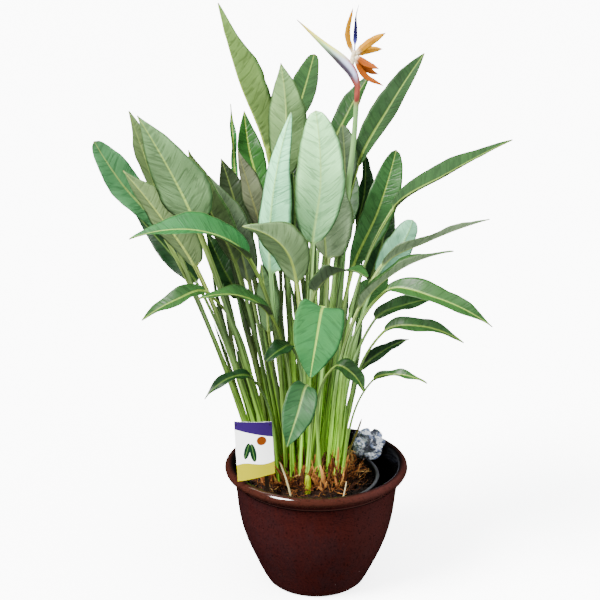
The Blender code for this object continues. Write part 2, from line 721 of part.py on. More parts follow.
def make_leaf(name, item, foot, bulge, index, finish):
    large = item["width"] >= LARGE_LEAF_WIDTH
    blade = LARGE_BLADE_STEPS if large else SMALL_BLADE_STEPS
    rings = leaf_rings(item, foot, bulge, STEM_STEPS, blade, 2.4 * index)
    # Both sides of the blade are cut alike, from the edge to the next ring's middle, so they never cross.
    points, faces = loft(rings, split_from=(0, 2, 3, 7))
    return new_object(name, points, faces, finish)


def socket_cutter(item, foot, bulge):
    """A plain hexagonal hole that the sunk end of a stem stands in."""
    low, high = stem_line(item, (0.0, 0.04), foot, bulge)
    return socket(low, high, stem_radii(item)[0])


def needle(base, tip, radius):
    """A three-sided spike with a blunt end, for a root, a fibre or a dry sheath."""
    axis = unit(np.subtract(tip, base))
    side = unit(np.cross(axis, (0.31, 0.22, 0.92)))
    other = np.cross(axis, side)
    angles = [0, 2 * math.pi / 3, 4 * math.pi / 3]
    rings = []
    for centre, wide in ((np.array(base), radius), (np.array(tip), 0.3 * radius)):
        rings.append([centre + wide * (side * math.cos(a) + other * math.sin(a)) for a in angles])
    return new_object("fibre", *loft(np.array(rings)))


def make_crown(finish, leaves, feet, bulges):
    """A low dome of matted root tops, with fibres fused to it and a hole for each stem."""
    rings, segments = [], 24
    for share, low in ((1.0, True), (1.0, False), (0.86, False), (0.55, False), (0.22, False)):
        row = []
        for k in range(segments):
            x, y = crown_place(2 * math.pi * k / segments, share)
            bumps = 0.002 * math.sin(90 * x) * math.cos(70 * y)
            row.append((x, y, CROWN_BOTTOM if low else float(crown_height(x, y)) + bumps))
        rings.append(row)
    crown = new_object("root_crown", *loft(np.array(rings)), finish)
    shares = np.linspace(0, 0.3, 12)
    stems = np.array([stem_line(item, shares, feet[i], bulges[i]) for i, item in enumerate(leaves.values())])
    stake = np.array(STAKE_FOOT) + np.linspace(0, 1, 24)[:, None] * np.subtract(STAKE_TOP, STAKE_FOOT)
    stems = np.vstack((stems.reshape(-1, 3), stalk_line(np.linspace(0, 0.3, 12)), stake))
    draw = np.random.default_rng(7)
    fibres = []
    while len(fibres) < FIBRES:
        angle = draw.uniform(0, 2 * math.pi)
        x, y = crown_place(angle, draw.uniform(0.72, 0.97))
        z = float(crown_height(x, y))
        heading = angle + draw.uniform(-1.1, 1.1)
        slope = draw.uniform(0.25, 1.35)
        length = draw.uniform(0.016, 0.040)
        level = math.cos(slope)
        way = np.array((math.cos(heading) * level, math.sin(heading) * level, math.sin(slope)))
        base, tip = np.array((x, y, z - 0.005)), np.array((x, y, z)) + way * length
        steps = base + np.linspace(0, 1, 9)[:, None] * (tip - base)
        near = np.sqrt(((steps[:, None, :] - stems[None]) ** 2).sum(axis=2)).min()
        pot = np.hypot(tip[0] - NURSERY_CENTRE[0], tip[1] - NURSERY_CENTRE[1])
        if near < FIBRE_ROOM or pot > NURSERY_TOP_RADIUS - 0.006:
            continue
        fibres.append(needle(base, tip, draw.uniform(0.0012, 0.0024)))
    boolean(crown, fibres, "UNION")
    sockets = [socket_cutter(item, feet[i], bulges[i]) for i, item in enumerate(leaves.values())]
    return boolean(crown, [*sockets, stalk_socket()])


def smooth_path(points, shares):
    """Catmull-Rom curve through the points, at the given shares of its length."""
    points = np.array(points, float)
    padded = np.vstack((2 * points[0] - points[1], points, 2 * points[-1] - points[-2]))
    at = np.clip(np.asarray(shares) * (len(points) - 1), 0, len(points) - 1 - 1e-9)
    i = at.astype(int)
    t = (at - i)[:, None]
    a, b, c, d = padded[i], padded[i + 1], padded[i + 2], padded[i + 3]
    return 0.5 * (2 * b + (c - a) * t + (2 * a - 5 * b + 4 * c - d) * t**2 + (3 * b - a - 3 * c + d) * t**3)


def oval_rings(centres, normal, widths, heights, corners):
    """Rings of an oval section along a line. normal gives the direction of the heights."""
    tangents, normals = transport(centres, 0, normal)
    sides = np.cross(tangents, normals)
    angles = 2 * math.pi * np.arange(corners) / corners
    across = np.cos(angles)[None, :, None] * np.asarray(widths)[:, None, None] * sides[:, None, :]
    up = np.sin(angles)[None, :, None] * np.asarray(heights)[:, None, None] * normals[:, None, :]
    return centres[:, None, :] + across + up


def stalk_line(shares):
    return smooth_path(STALK_PATH, shares)


def stalk_socket():
    low, high = stalk_line((0.0, 0.06))
    return socket(low, high, STALK_RADIUS * STALK_FLARE)


def straight_rod(name, start, end, radius, corners):
    sizes = (radius, radius)
    rings = oval_rings(np.array((start, end)), (0, 1, 0), sizes, sizes, corners)
    return new_object(name, *loft(rings))


def socket(low, high, stem):
    """A six-sided cutter along the first stretch of a stem, a little wider than the stem itself."""
    axis = unit(high - low)
    radius = (stem + 1.5 * GAP) / math.cos(math.pi / 6)
    return straight_rod("socket", low - axis * GAP, low + axis * 0.05, radius, 6)


def make_flower_stalk(finish):
    """The round stalk with its beaked bract, grown as one piece, and a socket for the bloom."""
    shares = np.linspace(0, 1, 13)
    centres = stalk_line(shares)
    radii = STALK_RADIUS * (STALK_FLARE - 0.3 * shares)
    stalk = new_object("flower_stalk", *loft(oval_rings(centres, (0, 1, 0), radii, radii, 8)), finish)
    shares = np.linspace(0, 1, 10)
    line = smooth_path(BRACT_PATH, shares)
    steps = np.linspace(0, 1, len(BRACT_PATH))
    heights, widths = np.interp(shares, steps, BRACT_HEIGHTS), np.interp(shares, steps, BRACT_WIDTHS)
    line = np.vstack((centres[-2] * 0.4 + centres[-1] * 0.6, line))
    heights, widths = np.insert(heights, 0, 0.003), np.insert(widths, 0, 0.003)
    bract = new_object("bract", *loft(oval_rings(line, (1, 0, 0), widths, heights, 10)))
    boolean(stalk, [bract], "UNION")
    return boolean(stalk, [bloom_stem(BLOOM_RADIUS + GAP, GAP, 0.03)])


def bloom_stem(radius, deeper, longer):
    low, high = np.array(BLOOM_BASE), np.array(BLOOM_TOP)
    axis = unit(high - low)
    return straight_rod("bloom_stem", low - axis * deeper, high + axis * longer, radius, 10)


def make_sepals(finish):
    """Pointed orange sepals that spread from one short base in the bract."""
    sepals = bloom_stem(BLOOM_RADIUS, 0.0, 0.0)
    sepals.name = "flower_sepals"
    sepals.data.materials.append(finish)
    root = np.array(BLOOM_BASE) * 0.35 + np.array(BLOOM_TOP) * 0.65
    blades = []
    for part in SEPALS:
        tip = np.array(part["tip"])
        middle = (root + tip) / 2 + np.array(part["bow"])
        line = smooth_path((root, middle, tip), (0.0, 0.25, 0.5, 0.75, 1.0))
        widths = part["width"] / 2 * np.array((0.30, 0.85, 1.0, 0.75, 0.06))
        heights = np.array((0.0022, 0.0023, 0.0020, 0.0016, 0.0006))
        rings = oval_rings(line, (0.1, -1.0, 0.25), widths, heights, 6)
        blades.append(new_object("sepal", *loft(rings)))
    boolean(sepals, blades, "UNION")
    return boolean(sepals, [tongue_body("tongue_socket", 1.5 * GAP)])


def tongue_body(name, grow):
    shares = np.linspace(0, 1, 9)
    line = smooth_path(TONGUE_PATH, shares)
    widths = np.interp(shares, np.linspace(0, 1, 5), TONGUE_WIDTHS) + grow
    heights = np.interp(shares, (0, 1), (0.0018, 0.0008)) + grow
    line[0] -= unit(line[1] - line[0]) * grow
    return new_object(name, *loft(oval_rings(line, (0, 1, 0), widths, heights, 6)))


def make_tongue(finish):
    """The blue arrow: a slim shaft, a pair of lobes drawn as one wide section, and a thread at its tip."""
    tongue = tongue_body("flower_tongue", 0.0)
    tongue.data.materials.append(finish)
    return tongue


def make_stake(name, grow):
    low, high = np.array(STAKE_FOOT), np.array(STAKE_TOP)
    axis = unit(high - low)
    side = unit(np.cross(axis, (0, 1, 0)))
    front = np.cross(side, axis)
    half, thick = STAKE_WIDTH / 2 + grow, STAKE_THICKNESS / 2 + grow
    bottom, point = low - axis * grow, low + axis * 0.02
    rows = []
    corners = ((-1, -1), (1, -1), (1, 1), (-1, 1))
    for centre, narrow in ((bottom, 0.3), (point, 1.0), (high, 1.0)):
        rows.append([centre + side * half * narrow * a + front * thick * b for a, b in corners])
    return new_object(name, *loft(np.array(rows)))


def make_care_tag(finish):
    """A slightly bowed card, its lower edge cut at a slant, on a stake that stands in the soil."""
    top_left, top_right, low_right, low_left = (np.array(c) for c in CARD_CORNERS)
    columns = 6
    rows = []
    for k in range(columns + 1):
        share = k / columns
        bow = np.array((0, -0.004 * math.sin(math.pi * share), 0))
        high = top_left + (top_right - top_left) * share + bow
        low = low_left + (low_right - low_left) * share + bow
        back = np.array((0, CARD_THICKNESS, 0))
        rows.append([low, high, high + back, low + back])
    tag = new_object("care_tag", *loft(np.array(rows)), finish, smooth=False)
    return boolean(tag, [make_stake("stake", 0.0)], "UNION")


def make_packing_wad(finish):
    """A crumpled ball of film, squeezed into the gap between the two pots."""
    work = bmesh.new()
    bmesh.ops.create_icosphere(work, subdivisions=3, radius=1.0)
    centre = Vector(WAD_CENTRE)
    for vertex in work.verts:
        d = vertex.co.normalized()
        crease = abs(math.sin(5.1 * d.x + 3.7 * d.y * d.z)) + abs(math.sin(6.3 * d.y - 4.1 * d.z * d.x + 1.0))
        ridge = abs(math.sin(7.7 * d.z + 2.9 * d.x + 0.4))
        vertex.co = centre + d * WAD_RADIUS * (0.84 + 0.10 * crease + 0.07 * ridge)
    mesh = bpy.data.meshes.new("packing_wad")
    work.to_mesh(mesh)
    work.free()
    wad = bpy.data.objects.new("packing_wad", mesh)
    bpy.context.scene.collection.objects.link(wad)
    mesh.materials.append(finish)
    mesh.shade_smooth()
    pots = [lathe("pot", cover_profile(2 * GAP), POT_SEGMENTS, None)]
    pots.append(lathe("nursery", nursery_profile(2 * GAP), POT_SEGMENTS, None, NURSERY_CENTRE))
    return boolean(wad, pots)


def build():
    clear_scene()
    make_cover_pot(material("oxblood_glaze", (0.085, 0.022, 0.018), 0.16))
    make_nursery_pot(material("black_plastic", (0.012, 0.012, 0.014), 0.35))
    make_soil(material("potting_soil", (0.020, 0.014, 0.010), 0.95))
    feet, bulges = spread_stems(LEAVES)
    make_crown(material("root_fibre", (0.230, 0.100, 0.038), 0.90), LEAVES, feet, bulges)
    green = material("leaf_green", (0.090, 0.230, 0.075), 0.40)
    for index, (name, item) in enumerate(LEAVES.items()):
        make_leaf(name, item, feet[index], bulges[index], index, green)
    make_flower_stalk(material("flower_stalk_green", (0.250, 0.400, 0.180), 0.45))
    make_sepals(material("sepal_orange", (0.900, 0.230, 0.020), 0.45))
    make_tongue(material("tongue_blue", (0.045, 0.055, 0.300), 0.45))
    make_care_tag(material("tag_card", (0.850, 0.850, 0.800), 0.40))
    make_packing_wad(material("clear_film", (0.700, 0.720, 0.800), 0.12, transmission=0.4))


build()
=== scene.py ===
import math
import bmesh
import bpy
import numpy as np
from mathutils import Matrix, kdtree


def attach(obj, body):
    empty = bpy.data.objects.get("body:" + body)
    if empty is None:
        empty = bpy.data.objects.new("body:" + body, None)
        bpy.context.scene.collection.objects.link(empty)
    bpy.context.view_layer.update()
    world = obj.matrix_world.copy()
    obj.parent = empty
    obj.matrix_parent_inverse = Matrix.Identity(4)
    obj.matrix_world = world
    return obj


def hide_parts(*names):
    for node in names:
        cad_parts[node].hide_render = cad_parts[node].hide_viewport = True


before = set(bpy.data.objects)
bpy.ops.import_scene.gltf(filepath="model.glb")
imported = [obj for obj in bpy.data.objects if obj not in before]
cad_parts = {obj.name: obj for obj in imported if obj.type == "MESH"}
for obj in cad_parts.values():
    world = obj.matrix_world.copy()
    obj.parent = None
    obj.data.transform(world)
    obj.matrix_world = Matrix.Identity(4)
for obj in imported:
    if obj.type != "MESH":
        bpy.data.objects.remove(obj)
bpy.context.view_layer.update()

print("frame loaded:", len(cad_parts), "nodes")


def unit(v):  # each vector divided by its length
    v = np.asarray(v, float)
    return v / np.maximum(np.linalg.norm(v, axis=-1, keepdims=True), 1e-12)


def easeStep(x, low, high):  # 3t^2 - 2t^3, where t runs from 0 at low to 1 at high
    t = np.clip((x - low) / (high - low), 0, 1)
    return t * t * (3 - 2 * t)


def joined(*grids):  # grids side by side as the last axis; a number or a single row is repeated
    return np.stack(np.broadcast_arrays(*grids), axis=-1)


def roundAngles(count):
    return 2 * math.pi * np.arange(count) / count


def hermite(start, end, leave, arrive, t):
    # cubic between two places: each end direction is scaled by the distance between them
    t = np.asarray(t)[:, None]
    reach = np.linalg.norm(np.subtract(end, start))
    return ((2 * t**3 - 3 * t**2 + 1) * start + (t**3 - 2 * t**2 + t) * leave * reach
            + (3 * t**2 - 2 * t**3) * end + (t**3 - t**2) * arrive * reach)


def smoothPath(points, t):
    # Catmull-Rom: in each stretch a cubic through four neighbouring points
    points = np.array(points, float)
    p = np.vstack((2 * points[0] - points[1], points, 2 * points[-1] - points[-2]))
    at = np.clip(np.asarray(t) * (len(points) - 1), 0, len(points) - 1 - 1e-9)
    i = at.astype(int)
    s = (at - i)[:, None]
    a, b, c, d = p[i], p[i + 1], p[i + 2], p[i + 3]
    return 0.5 * (2 * b + (c - a) * s + (2 * a - 5 * b + 4 * c - d) * s**2 + (3 * b - a - 3 * c + d) * s**3)


def evenPath(points, count):
    return smoothPath(points, np.linspace(0, 1, count))


def carryNormals(line, start, normal):
    # the normal loses its part along each new tangent, so it never turns about the line
    tangents = unit(np.gradient(line, axis=0))
    normals = np.zeros_like(line)
    normals[start] = unit(normal - tangents[start] * np.dot(normal, tangents[start]))
    for step in (1, -1):
        i = start
        while 0 <= i + step < len(line):
            normals[i + step] = unit(normals[i] - tangents[i + step] * (normals[i] @ tangents[i + step]))
            i += step
    return tangents, normals


def crossFrame(line, normal):  # the side and the normal at each point of a line
    tangents, normals = carryNormals(line, 0, np.array(normal, float))
    return np.cross(tangents, normals), normals


def ripple(points, size, seed, count=14):
    # sum of sine waves in random directions, about -1 to 1; size is the length of a wave
    draw = np.random.default_rng(seed)
    ways = unit(draw.normal(size=(count, 3))) * draw.uniform(0.6, 1.6, (count, 1)) * 2 * math.pi / size
    waves = np.sin(np.asarray(points) @ ways.T + draw.uniform(0, 6.3, count))
    return waves.sum(axis=-1) / math.sqrt(count / 2) / 1.6


def ringSkin(rings, **fields):
    # grid of rings: quads between neighbours, fans round the middle of the first and last ring
    count, around = rings.shape[:2]
    i, j = np.meshgrid(np.arange(count - 1), np.arange(around), indexing="ij")
    a, b = i * around + j, i * around + (j + 1) % around
    quads = joined(a, b, b + around, a + around).reshape(-1, 4)
    j, k = np.arange(around), (np.arange(around) + 1) % around
    base, pole = (count - 1) * around, count * around
    low, high = joined(k, j, pole), joined(base + j, base + k, pole + 1)
    skin = {"faces": quads.tolist() + low.tolist() + high.tolist()}
    for name, grid in {"points": rings, **fields}.items():
        rows = grid.reshape(-1, grid.shape[-1])
        skin[name] = np.vstack((rows, grid[0].mean(axis=0), grid[-1].mean(axis=0)))
    return skin


def turnedSkin(profile, segments, centre=(0, 0)):
    # profile of (radius, height) from the bottom pole round to the top pole, turned about the upright axis
    angle = roundAngles(segments)
    inner = profile[1:-1]
    x = centre[0] + inner[:, :1] * np.cos(angle)
    y = centre[1] + inner[:, :1] * np.sin(angle)
    made = ringSkin(joined(x, y, inner[:, 1:]))
    made["points"][-2] = (*centre, profile[0][1])
    made["points"][-1] = (*centre, profile[-1][1])
    return made


def sweptRings(line, sides, normals, x,
               z):  # each ring is its centre, plus x times the side, plus z times the normal
    return line[:, None] + sides[:, None] * x[..., None] + normals[:, None] * z[..., None]


def ovalRings(line, normal, widths, heights, corners):
    # width times the cosine across, height times the sine along the carried normal
    sides, normals = crossFrame(line, normal)
    angle = roundAngles(corners)
    return sweptRings(line, sides, normals, widths[:, None] * np.cos(angle),
                      heights[:, None] * np.sin(angle))


def addPiece(name, skins, materials, node, creaseAngle=None):
    # all skins go into one mesh; a field that a skin lacks is filled with zeros
    points, faces, numbers, total = [], [], [], 0
    fields = {}
    for skin in skins:
        points.append(skin["points"])
        faces += [[v + total for v in face] for face in skin["faces"]]
        numbers += [skin.get("material", 0)] * len(skin["faces"])
        total += len(skin["points"])
        for key in skin:
            if key not in ("points", "faces", "material"):
                fields.setdefault(key, skin[key].shape[-1])
    mesh = bpy.data.meshes.new(name)
    mesh.from_pydata(np.vstack(points).tolist(), [], faces)
    for material in materials:
        mesh.materials.append(material)
    mesh.polygons.foreach_set("material_index", numbers)
    for key, width in fields.items():
        kind, target = ("FLOAT_COLOR", "color") if width == 4 else ("FLOAT_VECTOR", "vector")
        values = np.vstack([skin.get(key, np.zeros((len(skin["points"]), width))) for skin in skins])
        mesh.attributes.new(key, kind, "POINT").data.foreach_set(target, values.astype(np.float32).ravel())
    work = bmesh.new()
    work.from_mesh(mesh)
    bmesh.ops.recalc_face_normals(work, faces=work.faces)
    work.to_mesh(mesh)
    work.free()
    mesh.shade_smooth()
    if creaseAngle:
        mesh.set_sharp_from_angle(angle=math.radians(creaseAngle))
    made = bpy.data.objects.new(name, mesh)
    bpy.context.scene.collection.objects.link(made)
    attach(made, "root")
    if node:
        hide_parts(node)


class Wire:
    # one output socket; arithmetic on it adds Math nodes
    def __init__(self, tree, socket):
        self.tree, self.socket = tree, socket

    def calc(self, operation, *values):
        return addNode(self.tree, "ShaderNodeMath", {"operation": operation}, dict(enumerate(values)))

    def __add__(self, other):
        return self.calc("ADD", self, other)

    def __sub__(self, other):
        return self.calc("SUBTRACT", self, other)

    def __rsub__(self, other):
        return self.calc("SUBTRACT", other, self)

    def __mul__(self, other):
        return self.calc("MULTIPLY", self, other)

    def __pow__(self, other):
        return self.calc("POWER", self, other)

    __radd__ = __add__
    __rmul__ = __mul__

    def sine(self):
        return self.calc("SINE", self)

    def size(self):
        return self.calc("ABSOLUTE", self)

    def ease(self, low, high):  # smooth step from 0 at low to 1 at high
        settings = {"interpolation_type": "SMOOTHSTEP"}
        values = {"Value": self, "From Min": low, "From Max": high}
        return addNode(self.tree, "ShaderNodeMapRange", settings, values)

    def fade(self, low, high):  # smooth step from 1 at low to 0 at high
        return 1 - self.ease(low, high)


def addNode(tree, kind, settings=None, values=None, output=0):
    made = tree.nodes.new(kind)
    for key, value in (settings or {}).items():
        setattr(made, key, value)
    for key, value in (values or {}).items():
        if isinstance(value, Wire):
            tree.links.new(value.socket, made.inputs[key])
        else:
            made.inputs[key].default_value = value
    return Wire(tree, made.outputs[output])


class Finish:
    # a new material with one Principled shader
    def __init__(self, name, **constants):
        self.material = bpy.data.materials.new(name)
        self.material.use_nodes = True
        self.tree = self.material.node_tree
        self.shader = self.tree.nodes["Principled BSDF"]
        for key, value in constants.items():
            self.shader.inputs[key.replace("_", " ")].default_value = value

    def node(self, kind, settings=None, values=None, output=0):
        return addNode(self.tree, kind, settings, values, output)

    def place(self):
        return self.node("ShaderNodeTexCoord", output=3)

    def stretched(self, vector, scale):
        return self.node("ShaderNodeMapping", {}, {"Vector": vector, "Scale": scale})

    def noise(self, vector, scale, detail=3, roughness=0.5):
        values = {"Vector": vector, "Scale": scale, "Detail": detail, "Roughness": roughness}
        return self.node("ShaderNodeTexNoise", {}, values)

    def cells(self, vector, scale):
        return self.node("ShaderNodeTexVoronoi", {}, {"Vector": vector, "Scale": scale})

    def mix(self, factor, a, b, blend="MIX"):
        paint = [c if isinstance(c, Wire) else (*c, 1) for c in (a, b)]
        settings = {"data_type": "RGBA", "blend_type": blend}
        return self.node("ShaderNodeMix", settings, {0: factor, 6: paint[0], 7: paint[1]}, 2)

    def shade(self, paint, amount):  # the colour times a number
        grey = self.node("ShaderNodeCombineColor", {}, {0: amount, 1: amount, 2: amount})
        return self.mix(1.0, paint, grey, "MULTIPLY")

    def field(self, name, output=0):  # a stored attribute: 0 colour, 1 vector, 3 the fourth number
        return self.node("ShaderNodeAttribute", {"attribute_name": name}, None, output)

    def join(self, x, y, z):
        return self.node("ShaderNodeCombineXYZ", {}, {0: x, 1: y, 2: z})

    def split(self, vector):
        made = self.node("ShaderNodeSeparateXYZ", {}, {0: vector})
        return [Wire(self.tree, out) for out in made.socket.node.outputs]

    def paint(self, colour, roughness, height=None, bump=0, depth=0, **others):
        for key, value in {"Base Color": colour, "Roughness": roughness, **others}.items():
            self.tree.links.new(value.socket, self.shader.inputs[key.replace("_", " ")])
        if height is not None:
            made = self.node("ShaderNodeBump", {}, {"Strength": bump, "Distance": depth, "Height": height})
            self.tree.links.new(made.socket, self.shader.inputs["Normal"])
        return self.material


# neck, belly, tip, width, way the upper side looks, then what differs from the usual leaf
usualLeaf = {"fold": 22, "wave": 0.0035, "widest": 0.4, "base": 0.6, "end": 1.1, "matte": 0}


def leaf(neck, belly, tip, width, face, look, **others):
    return {**usualLeaf, "neck": neck, "belly": belly, "tip": tip, "width": width, "face": face,
            "look": look, **others}


leafLooks = {  # upper side, underside, midrib
    "green": ((0.0115, 0.041, 0.008), (0.045, 0.072, 0.022), (0.105, 0.17, 0.02)),
    "grass": ((0.016, 0.056, 0.013), (0.045, 0.072, 0.022), (0.13, 0.2, 0.026)),
    # painted shade: the next look is green darkened to about 0.7, for leaves in shade
    "deep": ((0.0078, 0.029, 0.0055), (0.04, 0.064, 0.02), (0.095, 0.15, 0.02)),
    "fresh": ((0.0085, 0.064, 0.0135), (0.052, 0.086, 0.026), (0.13, 0.21, 0.024)),
    # painted sheen: the upper side of the next look is about three times brighter than green, standing for a
    # bright sheen
    "jade": ((0.033, 0.115, 0.04), (0.045, 0.074, 0.032), (0.14, 0.21, 0.045)),
    "blue": ((0.011, 0.048, 0.013), (0.045, 0.074, 0.032), (0.11, 0.175, 0.035)),
    "leafy": ((0.0135, 0.06, 0.009), (0.045, 0.072, 0.022), (0.15, 0.23, 0.024)),
    # painted shade: the next two looks are very dark greens, for leaves whose upper side lies in shade
    "dusk": ((0.013, 0.022, 0.0085), (0.022, 0.03, 0.013), (0.06, 0.085, 0.02)),
    "dark": ((0.0022, 0.013, 0.0025), (0.017, 0.031, 0.011), (0.03, 0.062, 0.008)),
    "lime": ((0.013, 0.0494, 0.008), (0.07, 0.128, 0.027), (0.21, 0.31, 0.035)),
    "grey": ((0.009, 0.03, 0.007), (0.044, 0.073, 0.022), (0.1, 0.15, 0.03)),
    "silver": ((0.01, 0.036, 0.009), (0.1, 0.18, 0.06), (0.22, 0.32, 0.08)),
    "ash": ((0.008, 0.032, 0.0065), (0.048, 0.074, 0.037), (0.1, 0.14, 0.035)),
    "sage": ((0.011, 0.04, 0.01), (0.065, 0.127, 0.046), (0.2, 0.3, 0.05)),
    "haze": ((0.013, 0.048, 0.013), (0.11, 0.285, 0.16), (0.15, 0.3, 0.09)),
    "mint": ((0.013, 0.048, 0.013), (0.175, 0.5, 0.25), (0.23, 0.47, 0.14)),
    "frost": ((0.013, 0.048, 0.013), (0.245, 0.54, 0.22), (0.29, 0.49, 0.14)),
    "olive": ((0.009, 0.032, 0.0055), (0.082, 0.13, 0.044), (0.23, 0.3, 0.05)),
    "felt": ((0.009, 0.032, 0.0055), (0.135, 0.2, 0.098), (0.2, 0.28, 0.07)),
    # painted light: the next look is olive with its underside lightened about 1.45 times, for a leaf that
    # faces down and gets less light
    "tan": ((0.009, 0.032, 0.0055), (0.118, 0.19, 0.076), (0.26, 0.35, 0.055)),
    # painted shade: the next two looks have darkened undersides, for leaves standing behind others
    "shadedSlate": ((0.008, 0.032, 0.0065), (0.022, 0.038, 0.019), (0.07, 0.105, 0.026)),
    "moss": ((0.016, 0.052, 0.01), (0.022, 0.039, 0.01), (0.065, 0.1, 0.016)),
    "brown": ((0.008, 0.026, 0.006), (0.05, 0.057, 0.03), (0.08, 0.087, 0.024)),
}

toneFields = ("upperTone", "underTone",
              "ribTone")  # a fourth number: upperTone how matt, underTone how shaded

